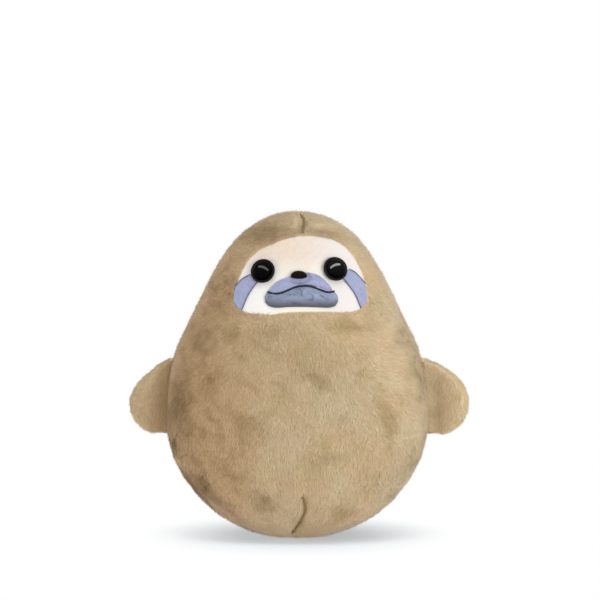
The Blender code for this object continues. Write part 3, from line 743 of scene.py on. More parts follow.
arms = dict(
    voxel=1.7 * mm, rounds=2, pressure=3.0, mostSwell=1.2 * mm, frames=16, edgeHeld=(0.4 * mm, 1.8 * mm),
    rootHeld=(2 * mm, 7 * mm), pileHeight=1.3 * mm, pileFull=5 * mm, rootReach=6.0 * mm, rootEnd=8 * mm,
    seamGroove=0.9 * mm, grooveWidth=2.0 * mm, grooveFrom=(4 * mm, 12 * mm),
    blendIn=3.0 * mm, blendOut=8.0 * mm,
    hang=dict(left=(1.6 * mm, 4.4 * mm), right=(2.8 * mm, 0.8 * mm)), hangFrom=(1 * mm, 14 * mm),
    reach=dict(left=-0.6 * mm, right=2.4 * mm), reachFrom=(6 * mm, 30 * mm),
)


def hingeOf(side):
    return np.array(next(joint["pos_m"] for joint in frame["joints"] if joint["name"] == side + "_arm_flex"))


def beyondHinge(side, points):
    return (points[:, 0] - hingeOf(side)[0]) * outwards[side]


def largestPart(piece):
    pick(piece)
    bpy.ops.mesh.separate(type="LOOSE")
    parts = sorted(bpy.context.selected_objects, key=lambda part: len(part.data.vertices))
    for part in parts[:-1]:
        drop(part)
    return parts[-1]


def makeArm(side):
    arm = meshCopy(side + "_arm", side + "_arm_front_panel", side + "_arm_back_panel", side + "_arm_stuffing")
    settle(arm, "REMESH", mode="VOXEL", voxel_size=arms["voxel"], use_smooth_shade=True)
    arm = largestPart(arm)
    arm.name = side + "_arm"
    relax(arm, arms["rounds"])
    points = places(arm)
    sewn = 1 - ease(np.abs(points[:, 1]), *arms["edgeHeld"])
    rootShaded = 1 - ease(beyondHinge(side, points), *arms["rootHeld"])
    inflate(arm, np.maximum(sewn, rootShaded), arms, arms["mostSwell"])
    settle(arm, "SUBSURF", levels=1, render_levels=1)
    points = places(arm)
    out = beyondHinge(side, points)
    groove = arms["seamGroove"] * bell(points[:, 1], arms["grooveWidth"]) * ease(out, *arms["grooveFrom"])
    points -= normalsOf(arm) * (arms["pileHeight"] * ease(out, 0.0, arms["pileFull"]) + groove)[:, None]
    points[:, 0] -= outwards[side] * arms["rootReach"] * (1 - ease(out, 0.0, arms["rootEnd"]))
    # the arm hangs and reaches a little further than the sewn form, more so away from its root
    foot, top = arms["hang"][side]
    high = ease(points[:, 2], points[:, 2].min(), points[:, 2].max())
    points[:, 2] -= (foot + (top - foot) * high) * ease(out, *arms["hangFrom"])
    points[:, 0] += outwards[side] * arms["reach"][side] * ease(out, *arms["reachFrom"])
    putPlaces(arm, points)
    return arm


# Pile: short tufts that grow from a skin, lie with the nap and part at the seams

nap = dict(
    swirl=1.15, swirlSize=46 * mm, fineSwirl=0.55, fineSwirlSize=15 * mm, calm=0.75, calmFrom=(0.45, 0.9),
    backwards=0.6, backwardsFrom=(40 * mm, 130 * mm), rag=6 * mm, ragSize=12 * mm,
    frontEdge=(-14 * mm, 10 * mm),
    patchDepth=0.55, patchSize=40 * mm, patchDrift=12 * mm, patchFrom=(0.05, 0.75), patchFront=0.15,
    patchBehind=0.30, behindFrom=(10 * mm, 40 * mm), markFall=0.8, turned=1.2,
    crushed=0.10, crushedLeft=0.36, crushedLeftFrom=(-10 * mm, 90 * mm),
    crushedSize=9 * mm, crushedFrom=(-0.1, 0.7), slant=(0.7, 0.0, -0.7), slantStretch=0.6,
    darkness=0.95, mottle=0.45, mottleSize=6 * mm,
    leanDeg=21.0, darkLeanDeg=8.0, leanDriftDeg=5.0, leanDriftSize=22 * mm,
    length=5.2 * mm, seamShort=0.30, seamReach=5 * mm, lengthDrift=0.10, lengthDriftSize=16 * mm,
)
tuft = dict(
    perSqMm=1.8, width=0.60 * mm, widths=(0.8, 0.5), lengths=(0.75, 0.5), flatness=0.4, sink=0.4 * mm,
    lowest=0.2 * mm, leanSpreadDeg=8.0, leanDegs=(12.0, 78.0), scatter=0.28, toneSpread=0.12, softness=0.75,
)

# Brush marks on the front, where the nap lies the other way and shade is painted: across, up, length and
# width in mm, turn in degrees, and how much painted shade each has
brushMarks = [
    (-84, 52, 38, 15, -38, 1.0), (-104, 134, 46, 20, 84, 0.9), (-78, 150, 30, 14, 70, 0.5),
    (-88, 186, 22, 12, 76, 0.5), (-24, 196, 26, 14, 20, 0.40), (46, 200, 36, 15, -8, 0.60),
    (-15, 144, 26, 10, -70, 0.35), (18, 154, 26, 10, -30, 0.55), (80, 114, 48, 12, -82, 0.60),
    (27, 82, 28, 13, 12, 0.45), (-29, 42, 26, 16, -40, 0.60), (42, 32, 24, 14, 50, 0.50),
    (-60, 68, 22, 14, -60, 0.50), (106, 80, 16, 8, 70, 0.45), (58, 158, 20, 9, -10, 0.40),
    (-27, 281, 38, 14, 10, 0.55), (-70, 232, 30, 14, 60, 0.50), (92, 193, 20, 10, 66, 0.35),
    (-44, 106, 34, 20, 65, 0.25), (4, 176, 80, 44, 0, 0.20),
]


def along(ways, out):
    # the part of each way that runs along the surface
    return ways - (ways * out).sum(1)[:, None] * out


def napFields(points, out, drawn):
    # which way the nap lies at each point of a skin, how steeply, how long, and how much painted shade its
    # patch has
    broad = swirl(points, nap["swirlSize"], 3.1)
    small = swirl(points, nap["fineSwirlSize"], 7.7)
    # brushed down, and back from the face; near the foot straight down, so that it parts under the toy
    calm = (1 - nap["calm"] * ease(np.abs(out[:, 2]), *nap["calmFrom"]))[:, None]
    way = calm * (nap["swirl"] * broad + nap["fineSwirl"] * small) + np.array([0.0, 0.0, -1.0])
    way[:, 1] += nap["backwards"] * ease(points[:, 2], *nap["backwardsFrom"])
    ragged = points + nap["rag"] * swirl(points, nap["ragSize"], 1.3)
    front = 1 - ease(points[:, 1], *nap["frontEdge"])
    patches = clump(ragged + nap["patchDrift"] * broad, nap["patchSize"], 3, 11.0)
    napShade = nap["patchDepth"] * ease(patches, *nap["patchFrom"])
    napShade *= nap["patchFront"] + nap["patchBehind"] * ease(points[:, 1], *nap["behindFrom"])
    for across, rise, length, width, turnDeg, depth in brushMarks:
        cos, sin = around(math.radians(turnDeg))
        dx, dz = ragged[:, 0] - across * mm, ragged[:, 2] - rise * mm
        run = (dx * cos + dz * sin) / (0.5 * length * mm)
        side = (dz * cos - dx * sin) / (0.5 * width * mm)
        napShade = np.maximum(napShade, depth * np.exp(-(run ** 2 + side ** 2) * nap["markFall"]) * front)
    # painted shade in fine slanting flecks of crushed nap, more of it on the left of the front
    slant = np.array(nap["slant"])
    stretched = points - nap["slantStretch"] * (points @ slant)[:, None] * slant
    flecks = clump(stretched, nap["crushedSize"], 3, 6.0)
    crushed = nap["crushed"] + nap["crushedLeft"] * front * ease(-points[:, 0], *nap["crushedLeftFrom"])
    crushed *= ease(flecks, *nap["crushedFrom"])
    napShade *= nap["darkness"] * (1 + nap["mottle"] * clump(points, nap["mottleSize"], 2, 8.0))
    napShade = np.clip(napShade + crushed * (1 - napShade), 0.0, 1.0)
    way += napShade[:, None] * np.roll(broad, 1, axis=1) * nap["turned"]
    drift = nap["leanDriftDeg"] * clump(points, nap["leanDriftSize"], 1, 5.0)
    lean = nap["leanDeg"] + nap["darkLeanDeg"] * napShade + drift
    length = nap["length"] * (1 - nap["seamShort"] * bell(drawn, nap["seamReach"]))
    length *= 1 + nap["lengthDrift"] * clump(points, nap["lengthDriftSize"], 1, 2.0)
    return unit(along(way, out)), lean, length, napShade


def growPile(name, points, normals, corners, fields, seed):
    # one closed spike of four faces for each tuft
    way, lean, length, napShade, clear = fields
    rng = np.random.default_rng(seed)
    a, b, c = (points[corners[:, n]] for n in range(3))
    area = np.linalg.norm(np.cross(b - a, c - a), axis=1) / 2
    wanted = area / mm ** 2 * tuft["perSqMm"]
    counts = np.floor(wanted + rng.random(len(wanted))).astype(int)
    owner = np.repeat(np.arange(len(corners)), counts)
    u, v = rng.random((2, len(owner)))
    over = u + v > 1
    u[over], v[over] = 1 - u[over], 1 - v[over]
    weights = np.stack([1 - u - v, u, v], axis=1)
    grows = (clear[corners[owner]] * weights).sum(1) > 0
    owner, weights = owner[grows], weights[grows]
    count = len(owner)

    def carried(values):
        picked = values[corners[owner]]
        return (picked * (weights[:, :, None] if picked.ndim == 3 else weights)).sum(1)

    root = carried(points)
    out = unit(carried(normals))
    flow = unit(along(carried(way), out) + tuft["scatter"] * rng.normal(size=out.shape))
    flow = unit(along(flow, out))
    lean = carried(lean) + tuft["leanSpreadDeg"] * rng.normal(size=count)
    rise = np.radians(np.clip(lean, *tuft["leanDegs"]))[:, None]
    least, extra = tuft["lengths"]
    reach = carried(length) * (least + extra * rng.random(count))
    ahead = flow * np.cos(rise) + out * np.sin(rise)
    across = np.cross(out, flow)
    upright = np.cross(ahead, across) * tuft["flatness"]
    least, extra = tuft["widths"]
    width = (tuft["width"] * (least + extra * rng.random(count)))[:, None]
    tip = root + ahead * reach[:, None]
    tip[:, 2] = np.maximum(tip[:, 2], skin["floorClear"])
    root -= out * tuft["sink"]
    spin = rng.random(count) * 2 * math.pi
    turns = [around(spin + 2 * math.pi * n / 3) for n in range(3)]
    rows = [root + width * (across * turn[:, :1] + upright * turn[:, 1:]) for turn in turns]
    ends = np.stack([*rows, tip], axis=1).reshape(-1, 3)
    ends[:, 2] = np.maximum(ends[:, 2], tuft["lowest"])
    spike = np.array([(0, 1, 3), (1, 2, 3), (2, 0, 3), (2, 1, 0)])
    faces = (spike[None] + 4 * np.arange(count)[:, None, None]).reshape(-1, 3)
    mesh = bpy.data.meshes.new(name)
    mesh.vertices.add(len(ends))
    mesh.vertices.foreach_set("co", ends.astype(np.float32).ravel())
    mesh.loops.add(faces.size)
    mesh.loops.foreach_set("vertex_index", faces.astype(np.int32).ravel())
    mesh.polygons.add(len(faces))
    mesh.polygons.foreach_set("loop_start", np.arange(0, faces.size, 3, dtype=np.int32))
    mesh.update(calc_edges=True)
    # for the finish: how far up the tuft, its own tone, and how much painted shade its patch has
    strand = np.empty((count, 4, 3), np.float32)
    strand[:, :, 0] = np.array([0.0, 0.0, 0.0, 1.0])
    strand[:, :, 1] = rng.random(count)[:, None]
    patchShade = carried(napShade) + tuft["toneSpread"] * rng.normal(size=count)
    strand[:, :, 2] = np.clip(patchShade, 0.0, 1.0)[:, None]
    mesh.attributes.new("strand", "FLOAT_VECTOR", "POINT").data.foreach_set("vector", strand.ravel())
    tuftMap(mesh, count)
    piece = newPiece(name, mesh)
    mesh.validate()
    # it is shaded mostly as the skin that it grows from
    soft = tuft["softness"]
    shading = soft * np.repeat(out, 4, axis=0) + (1 - soft) * unit(ends - np.repeat(root, 4, axis=0))
    mesh.shade_smooth()
    mesh.normals_split_custom_set_from_vertices(unit(shading).astype(np.float32))
    mesh.materials.append(mats["pile"])
    return piece


def tuftMap(mesh, count):
    # every tuft has a cell of its own on the map, its root at the cell's foot and its tip at the top
    across = math.ceil(math.sqrt(count))
    spots = np.array([(0.15, 0.12), (0.85, 0.12), (0.5, 0.12), (0.5, 0.88), (0.5, 0.2)])
    corner = spots[[0, 1, 3, 1, 2, 3, 2, 0, 3, 0, 1, 4]]
    origin = np.stack([np.arange(count) % across, np.arange(count) // across], axis=1)
    flat = ((origin[:, None] + corner[None]) / across).astype(np.float32)
    mesh.uv_layers.new(name="OFBake").data.foreach_set("uv", flat.ravel())


pile = dict(
    seed=41, levels=[0.0, 75 * mm, 135 * mm, 200 * mm, 310 * mm], sideEase=7.0 * mm, behind=9.0,
    faceEdge=0.08, turnAside=0.30, upFrom=(0.3, 0.8), clipped=0.34, raisedDeg=17.0,
    dartReach=4 * mm, dartTurn=0.9, dartShade=0.9, dartShadeReach=2.6 * mm,
    faceShare=0.994, faceClear=30 * mm, faceMargin=0.99, dartParting=1.2 * mm, closingParting=0.9 * mm,
)


def bodyPile():
    points = places(plushBody)
    out = normalsOf(plushBody)
    side, back, dart = seamGaps(points)
    drawn = np.min([back, dart, side + pile["sideEase"]], axis=0)
    face = np.where(points[:, 1] < 0, faceShare(points), pile["behind"])
    way, lean, length, napShade = napFields(points, out, drawn)
    # round the face the nap turns away from the edge and is clipped short
    edge = bell(face - 1.0, pile["faceEdge"])
    away = unit(along(points - onFront(*faceMiddle), out))
    # under the face no tuft points back up over it
    up = np.minimum((way * away).sum(1), 0.0) * edge * ease(-away[:, 2], *pile["upFrom"])
    aside = (pile["turnAside"] * edge)[:, None]
    way = unit((way - up[:, None] * away) * (1 - aside) + away * aside)
    length = length * (1 - pile["clipped"] * edge)
    lean = lean + pile["raisedDeg"] * edge
    # it parts along the darts too
    apart = unit(along(points - np.array([dartTree.find(point)[0][:] for point in points]), out))
    parted = (pile["dartTurn"] * bell(dart, pile["dartReach"]))[:, None]
    way = unit(way * (1 - parted) + apart * parted)
    # painted shade in the crease along the darts
    napShade = np.maximum(napShade, pile["dartShade"] * bell(dart, pile["dartShadeReach"]))
    closing = nearness(points, closingTree) - pile["closingParting"]
    clear = (face - pile["faceShare"]) * pile["faceClear"]
    clear = np.min([clear, dart - pile["dartParting"], closing], axis=0)
    corners = cornersOf(plushBody)
    middle = points[corners].mean(1)
    outside = face[corners].max(1) > pile["faceMargin"]
    pieces = []
    for n, (low, high) in enumerate(zip(pile["levels"][:-1], pile["levels"][1:])):
        level = outside & (middle[:, 2] >= low) & (middle[:, 2] < high)
        for label, test in (("front", middle[:, 1] < 0), ("back", middle[:, 1] >= 0)):
            name = "body_" + label + "_pile_" + str(n + 1)
            fields = (way, lean, length, napShade, clear)
            piece = growPile(name, points, out, corners[level & test], fields, pile["seed"] + len(pieces))
            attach(piece, "body")
            pieces.append(piece)
    return pieces


bodyPiles = bodyPile()
print("body pile grown, tufts:", [len(piece.data.polygons) // 4 for piece in bodyPiles])


armNap = dict(seamFrom=4 * mm, seamless=9 * mm, outwards=0.35, rootLength=0.62, extraLength=0.28,
              lengthFull=10 * mm, napShade=0.3, seeds=dict(left=101, right=102))


def armPile(side, arm):
    points = places(arm)
    out = normalsOf(arm)
    off = beyondHinge(side, points)
    drawn = np.where(off > armNap["seamFrom"], np.abs(points[:, 1]), armNap["seamless"])
    way, lean, length, napShade = napFields(points, out, drawn)
    way = unit(way + np.array([armNap["outwards"] * outwards[side], 0.0, 0.0]))
    length = length * (armNap["rootLength"] + armNap["extraLength"] * ease(off, 0.0, armNap["lengthFull"]))
    # the arms carry a share of the body's painted patch shade
    fields = (way, lean, length, armNap["napShade"] * napShade, off + arms["rootReach"])
    return growPile(side + "_arm_pile", points, out, cornersOf(arm), fields, armNap["seeds"][side])


for side in outwards:
    arm = makeArm(side)
    tufts = armPile(side, arm)
    finishPiece(arm, "backing", None)
    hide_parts(side + "_arm_front_panel", side + "_arm_back_panel")
    fill = makeFilling(side + "_arm_fibre_fill", arm, side + "_arm_stuffing")
    # each piece's place is baked into its mesh
    for piece in (arm, tufts, fill):
        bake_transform(piece)
print("arms made")


# Face cloths: each is laid on the body's front inside its own outline, with its edge turned in; sizes in mm

eyePatch = dict(mat="blue", slot="blue_cloth", base=-0.35, deep=-0.75, puff=0.45, turn=0.9, rings=18)
cloths = dict(
    face_panel=dict(mat="cream", slot="cream_cloth", base=-0.8, deep=-2.4, puff=0.25, turn=1.6, rings=40,
                    **faceEdge),
    left_eye_patch=eyePatch, right_eye_patch=eyePatch,
    upper_lip=dict(mat="blue", slot="blue_cloth", base=-0.1, deep=-0.7, puff=3.4, turn=8.0, rings=30,
                   grow=0.55, soften=1),
    lower_lip=dict(mat="slate", slot="slate_cloth", base=-0.1, deep=-0.7, puff=5.4, turn=9.0, rings=30,
                   grow=0.7, soften=1),
)
clothCommon = dict(turns=360, thickness=0.5 * mm, ripple=0.12 * mm, rippleSize=9 * mm, underPlush=1.6 * mm,
                   underFrom=(0.985, 1.03), ringPower=1.5)
lipEdge = dict(lift=1.2 * mm, round=0.7 * mm, crownFrom=0.2 * mm, drawn=2.6 * mm, free=4.2 * mm,
               cornerReach=4.0 * mm)
noseSeat = dict(half=8.6 * mm, high=5.4 * mm, rise=4 * mm, sunk=0.3 * mm, bank=5 * mm, bankFrom=(0.9, 1.9))
dimple = dict(depth=0.9 * mm, reach=5.0 * mm, eyeRadius=11 * mm)
patchEnd = dict(share=1.0, underEye=3.0 * mm, back=4 * mm, most=12 * mm, rimPoints=60)
lineSlices = dict(mouth=26, patch=14, root=14, closing=24)
mouthLine = evenly(centreLine("mouth_stitch", lineSlices["mouth"]), 0.25 * mm)[:, [0, 2]]
mouthTree = treeOf(standing(mouthLine))


def lipOutline(nodeName, edge):
    if nodeName == "upper_lip":
        # its corners run out to the ends of the mouth line
        for corner in (mouthLine[0], mouthLine[-1]):
            near = bell(np.linalg.norm(edge - corner, axis=1), lipEdge["cornerReach"])
            edge = edge + (corner - edge) * near[:, None]
    # an edge that runs beside the mouth line is drawn to the middle of that line
    found = [mouthTree.find(point) for point in standing(edge)]
    onLine = np.array([place[:] for place, _, _ in found])[:, [0, 2]]
    pull = 1 - ease(np.array([gap for _, _, gap in found]), lipEdge["drawn"], lipEdge["free"])
    return edge + (onLine - edge) * pull[:, None]


def patchLine(side, which):
    # the seam along one side of a patch, from the eye out, and on as it lies until it is under the plush
    line = evenly(centreLine(side + "_patch_" + which + "_stitch", lineSlices["patch"], 2), fine)
    ends = faceShare(line[[0, -1]])
    line = line[::-1] if ends[0] > ends[1] else line
    ahead = unit(line[-1] - line[-round(patchEnd["back"] / fine)])
    added = np.array([line[-1] + ahead * fine * n for n in range(1, round(patchEnd["most"] / fine))])
    return np.concatenate([line, added[faceShare(added) < patchEnd["share"]]])


def patchOutline(side):
    # out along the upper seam, round the face's edge under the plush, and back along the lower seam
    upper, lower = (patchLine(side, which)[:, [0, 2]] for which in ("upper", "lower"))
    first, last = (math.atan2(*(line[-1] - faceMiddle)[::-1]) for line in (upper, lower))
    swing = (last - first + math.pi) % (2 * math.pi) - math.pi
    angles = first + swing * np.linspace(0.0, 1.0, patchEnd["rimPoints"])
    rim = faceMiddle + reachAt(faceReach, angles)[:, None] * around(angles)
    # both seams start under the eye's rim
    eye = eyePlaces[side][0][[0, 2]]
    starts = [line[0] + unit(eye - line[0]) * patchEnd["underEye"] for line in (upper, lower)]
    loop = np.concatenate([starts[:1], upper, rim[1:-1], lower[::-1], starts[1:], starts[:1]])
    loop = evenly(standing(loop), fine / 2)[:, [0, 2]]
    return loop[np.linspace(0, len(loop) - 1, clothCommon["turns"], endpoint=False).astype(int)]


def clothOutline(nodeName, facts):
    if nodeName.endswith("patch"):
        edge = patchOutline(nodeName.split("_")[0])
        return edge.mean(0), edge
    middle, reach = outlineOf(nodeName, clothCommon["turns"])
    reach = softened(reach, facts["soften"]) + facts["grow"] * mm
    edge = middle + reach[:, None] * around(2 * math.pi * np.arange(len(reach)) / len(reach))
    return middle, lipOutline(nodeName, edge) if nodeName.endswith("lip") else edge


def clothLift(nodeName, facts, laid, inside):
    # how far the cloth stands out of the body's front, here and there
    base, deep, puff, turn = (facts[key] * mm for key in ("base", "deep", "puff", "turn"))
    swell = rounded(inside, turn)
    if nodeName.endswith("lip"):
        # a rounded sewn edge, and a soft crown inside it
        crown = (base + puff - lipEdge["lift"]) * ease(inside, lipEdge["crownFrom"], turn)
        lift = deep + (lipEdge["lift"] - deep) * rounded(inside, lipEdge["round"]) + crown
    else:
        # flat cloths turn down at the face's own edge, where the plush covers them
        lift = deep + (base + puff - deep) * swell
        lift -= clothCommon["underPlush"] * ease(faceShare(laid), *clothCommon["underFrom"])
    if nodeName == "face_panel":
        # the eyes' studs draw the cloth in round them
        for middle, _ in eyePlaces.values():
            off = np.maximum(np.linalg.norm(laid - middle, axis=1) - dimple["eyeRadius"], 0.0)
            lift -= dimple["depth"] * np.exp(-off / dimple["reach"]) * swell
    if nodeName == "upper_lip":
        # the nose sits in a hollow
        across = (laid[:, 0] - flatPlace("nose_washer")[0][0]) / noseSeat["half"]
        rise = (laid[:, 2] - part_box("nose")[0].z - noseSeat["rise"]) / noseSeat["high"]
        bank = noseSeat["bank"] * ease(np.hypot(across, rise), *noseSeat["bankFrom"])
        lift = np.minimum(lift, bank - noseSeat["sunk"])
    return lift + clothCommon["ripple"] * clump(laid, clothCommon["rippleSize"]) * swell


def makeCloth(nodeName, facts):
    middle, edge = clothOutline(nodeName, facts)
    turns = len(edge)
    bpy.ops.mesh.primitive_circle_add(vertices=turns, radius=0.01, fill_type="NOTHING")
    cloth = bpy.context.view_layer.objects.active
    cloth.name = nodeName.removesuffix("_panel") + "_cloth"
    # rings of points from the middle out, closer together at the edge
    form = bmesh.new()
    shares = [1 - (1 - n / facts["rings"]) ** clothCommon["ringPower"] for n in range(1, facts["rings"] + 1)]
    centre = form.verts.new(standing(middle[None])[0])
    rows = [[form.verts.new(place) for place in standing(middle + (edge - middle) * share)]
            for share in shares]
    for n in range(turns):
        form.faces.new((centre, rows[0][n], rows[0][(n + 1) % turns]))
        for low, high in zip(rows[:-1], rows[1:]):
            form.faces.new((low[n], high[n], high[(n + 1) % turns], low[(n + 1) % turns]))
    form.to_mesh(cloth.data)
    form.free()
    flat = places(cloth)
    inside = nearness(flat, treeOf(standing(edge)))
    laid = np.array([onFront(x, z) for x, _, z in flat])
    putPlaces(cloth, laid)
    editAll(cloth, (bpy.ops.mesh.normals_make_consistent, dict(inside=False)))
    out = normalsOf(cloth)
    if out[:, 1].mean() > 0:
        cloth.data.flip_normals()
        out = -out
    putPlaces(cloth, laid + out * clothLift(nodeName, facts, laid, inside)[:, None])
    settle(cloth, "SOLIDIFY", thickness=clothCommon["thickness"], offset=-1.0, use_even_offset=False)
    finishPiece(cloth, facts["mat"], "body")
    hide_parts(nodeName)


for nodeName, facts in cloths.items():
    makeCloth(nodeName, facts)
print("face cloths laid")


# Eyes and nose: turned forms on the same axes as the frame's own

eyes = dict(
    rimRadius=11.3 * mm, rimRound=1.1 * mm, arcPoints=7, stem=2.0 * mm, stemLength=9 * mm, bore=2.4 * mm,
    domeRadius=8.8 * mm, domeHeight=5.4 * mm, domeSunk=0.6 * mm, domeWall=0.7 * mm, domePoints=20, steps=64,
    seat=[(0.5 * mm, 0.05 * mm), (0.2 * mm, -0.5 * mm), (0.1 * mm, -0.9 * mm)],
)
nose = dict(halfWidth=7.65 * mm, rise=5.3 * mm, fall=2.3 * mm, height=6.2 * mm, wall=1.2 * mm, power=0.9,
            points=22, steps=72, foot=[(0.2 * mm, 0.5 * mm), (0.7 * mm, 0.0)])
weld = 0.005 * mm


def turnProfile(name, profile, steps):
    # spins a profile of radius and height about +Z
    mesh = bpy.data.meshes.new(name)
    edges = [(n, n + 1) for n in range(len(profile) - 1)]
    mesh.from_pydata([(radius, 0.0, height) for radius, height in profile], edges, [])
    piece = newPiece(name, mesh)
    spin = dict(steps=steps, angle=2 * math.pi, center=(0, 0, 0), axis=(0, 0, 1))
    editAll(piece, (bpy.ops.mesh.spin, spin), (bpy.ops.mesh.remove_doubles, dict(threshold=weld)),
            (bpy.ops.mesh.normals_make_consistent, dict(inside=False)))
    return piece


def standAt(piece, middle, axis):
    turn = Vector(axis).to_track_quat("Z", "Y").to_matrix().to_4x4()
    turn.translation = Vector(middle)
    piece.data.transform(turn)


def dome(radius, foot, height, points, power=1.0):
    turns = np.linspace(0.0, math.pi / 2, points)
    return [(radius * math.sin(t) ** power, foot + height * math.cos(t)) for t in turns]


def makeEye(side):
    middle, axis = eyePlaces[side]
    heights = (nodePoints(side + "_eye_rim") - middle) @ axis
    foot, top = heights.min(), heights.max()
    corner, bend, radius = eyes["rimRadius"] - eyes["rimRound"], eyes["rimRound"], eyes["domeRadius"]

    def arc(height, fromDeg, toDeg):
        ways = around(np.radians(np.linspace(fromDeg, toDeg, eyes["arcPoints"])))
        return [(corner + bend * x, height + bend * y) for x, y in ways]

    seat = [(radius + wider, top + rise) for wider, rise in eyes["seat"]]
    profile = [(eyes["bore"], foot), *arc(foot + bend, -90, 0), *arc(top - bend, 0, 90), *seat,
               (eyes["bore"], seat[-1][1]), (eyes["bore"], foot)]
    rim = turnProfile(side + "_eye_rim_ring", profile, eyes["steps"])
    standAt(rim, middle, axis)
    finishPiece(rim, "rim", "body")
    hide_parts(side + "_eye_rim")
    domeFoot, end = top - eyes["domeSunk"], foot - eyes["stemLength"]
    profile = dome(radius, domeFoot + eyes["domeWall"], eyes["domeHeight"], eyes["domePoints"])
    profile += [(radius, domeFoot), (eyes["stem"], domeFoot), (eyes["stem"], end), (0.0, end)]
    eye = turnProfile(side + "_eye_dome", profile, eyes["steps"])
    standAt(eye, middle, axis)
    finishPiece(eye, "eye", "body")
    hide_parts(side + "_eye")


def makeNose():
    middle, axis = flatPlace("nose_washer")
    half, wall = nose["halfWidth"], nose["wall"]
    foot = ((nodePoints("nose") - middle) @ axis).max() - nose["height"]
    profile = dome(half, foot + wall, nose["height"] - wall, nose["points"], nose["power"])
    profile += [*((half - drawn, foot + rise) for drawn, rise in nose["foot"]), (0.0, foot)]
    piece = turnProfile("nose_dome", profile, nose["steps"])
    shaped = places(piece)
    shaped[:, 1] *= np.where(shaped[:, 1] > 0, nose["rise"], nose["fall"]) / half
    putPlaces(piece, shaped)
    standAt(piece, middle, axis)
    finishPiece(piece, "nose", "body")
    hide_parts("nose")


for side in outwards:
    makeEye(side)
makeNose()
for nodeName in ("left_eye_washer", "right_eye_washer", "nose_washer"):
    putFinish(frame["nodes"][nodeName], "washer")
print("eyes and nose turned")


# Threads: satin stitch along the mouth, running stitch along the seams; the seams' sizes in mm

mouth = dict(pitch=0.34 * mm, half=0.95 * mm, thread=0.22 * mm, lift=1.45 * mm, arch=0.65 * mm, trim=2,
             slant=0.25, uneven=0.08, unevenPitch=1.7, steps=5)
seams = dict(
    patch=dict(stitch=2.4, gap=-0.5, thread=0.42, lift=0.40, arch=0.20, mat="edge", slot="blue_thread"),
    dart=dict(stitch=3.0, gap=-0.7, thread=1.05, lift=1.5, arch=0.25, mat="brown", slot="brown_thread"),
    closing=dict(stitch=4.2, gap=1.4, thread=0.55, lift=0.7, arch=0.50, trim=0.5, mat="brown",
                 slot="brown_thread"),
    root=dict(stitch=3.4, gap=0.6, thread=0.60, arch=0.30, trim=6.0, mat="brown", slot="brown_thread"),
)
thread = dict(sides=6, steps=7, archPower=0.6, thinEnd=0.55, least=4)


def outwardAt(place):
    return np.array(outerForm.find_nearest(Vector(place))[1])


def stitchForm(form, start, end, lift, out, radius, steps):
    # one thread from start to end, arched by the lift and thinner at both ends
    across = np.cross(unit(end - start), out)
    rings = []
    for t in np.linspace(0.0, 1.0, steps):
        bow = 4 * t * (1 - t)
        middle = start + (end - start) * t + out * lift * bow ** thread["archPower"]
        width = radius * (thread["thinEnd"] + (1 - thread["thinEnd"]) * bow ** 0.5)
        ways = around(2 * math.pi * np.arange(thread["sides"]) / thread["sides"])
        rings.append([form.verts.new(middle + (across * x + out * y) * width) for x, y in ways])
    for low, high in zip(rings[:-1], rings[1:]):
        for k in range(thread["sides"]):
            form.faces.new((low[k - 1], low[k], high[k], high[k - 1]))
    form.faces.new(rings[0][::-1])
    form.faces.new(rings[-1])


def threadPiece(name, form, material, node):
    bmesh.ops.recalc_face_normals(form, faces=form.faces)
    mesh = bpy.data.meshes.new(name)
    form.to_mesh(mesh)
    form.free()
    piece = finishPiece(newPiece(name, mesh), material, "body")
    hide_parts(node)


def mouthStitches():
    line = evenly(centreLine("mouth_stitch", lineSlices["mouth"]), mouth["pitch"])
    line = line[mouth["trim"]:-mouth["trim"]]
    line = np.array([onFront(x, z, mouth["lift"]) for x, _, z in line])
    form = bmesh.new()
    for n, (place, way) in enumerate(zip(line, unit(np.gradient(line, axis=0)))):
        out = outwardAt(place)
        half = mouth["half"] * (1.0 + mouth["uneven"] * math.sin(n * mouth["unevenPitch"]))
        reach = np.cross(out, way) * half + mouth["slant"] * mouth["half"] * way
        stitchForm(form, place - reach, place + reach, mouth["arch"], out, mouth["thread"], mouth["steps"])
    threadPiece("mouth_satin_stitch", form, "navy", "mouth_stitch")


def onSkin(place, lift):
    here, out = skinForm.find_nearest(Vector(place))[:2]
    return np.array(here + out * lift)


def seamLine(node, kind, lift):
    # the line that a seam's stitches follow, laid on the face's cloth or on the body's
    words = node.split("_")
    if kind == "patch":
        return np.array([onFront(x, z, lift) for x, _, z in patchLine(words[0], words[2])])
    if kind == "dart":
        line = dartLine(words[0])
    else:
        line = evenly(centreLine(node, lineSlices[kind], 2)[::-1], fine)
        trim = round(seams[kind]["trim"] * mm / fine)
        line = line[trim:len(line) - trim]
    return np.array([onSkin(place, lift) for place in line]) if lift else line


def sewLine(node, kind):
    # running stitches along a seam
    facts = seams[kind]
    line = seamLine(node, kind, facts.get("lift", 0.0) * mm)
    form = bmesh.new()
    span, skip = round(facts["stitch"] * mm / fine), round(facts["gap"] * mm / fine)
    for n in range(0, len(line) - thread["least"], span + skip):
        start, end = line[n], line[min(n + span, len(line) - 1)]
        out = outwardAt(start)
        stitchForm(form, start, end, facts["arch"] * mm, out, facts["thread"] * mm, thread["steps"])
    threadPiece(node.removesuffix("_stitch") + "_stitches", form, facts["mat"], node)


mouthStitches()
for side in outwards:
    for edge in ("upper", "lower"):
        sewLine(side + "_patch_" + edge + "_stitch", "patch")
    sewLine(side + "_arm_seam", "root")
for place in dartFacts["runOn"]:
    sewLine(place + "_dart_stitch", "dart")
sewLine("closing_stitch", "closing")
print("threads sewn")


# The photograph's view: a long lens a little above the toy

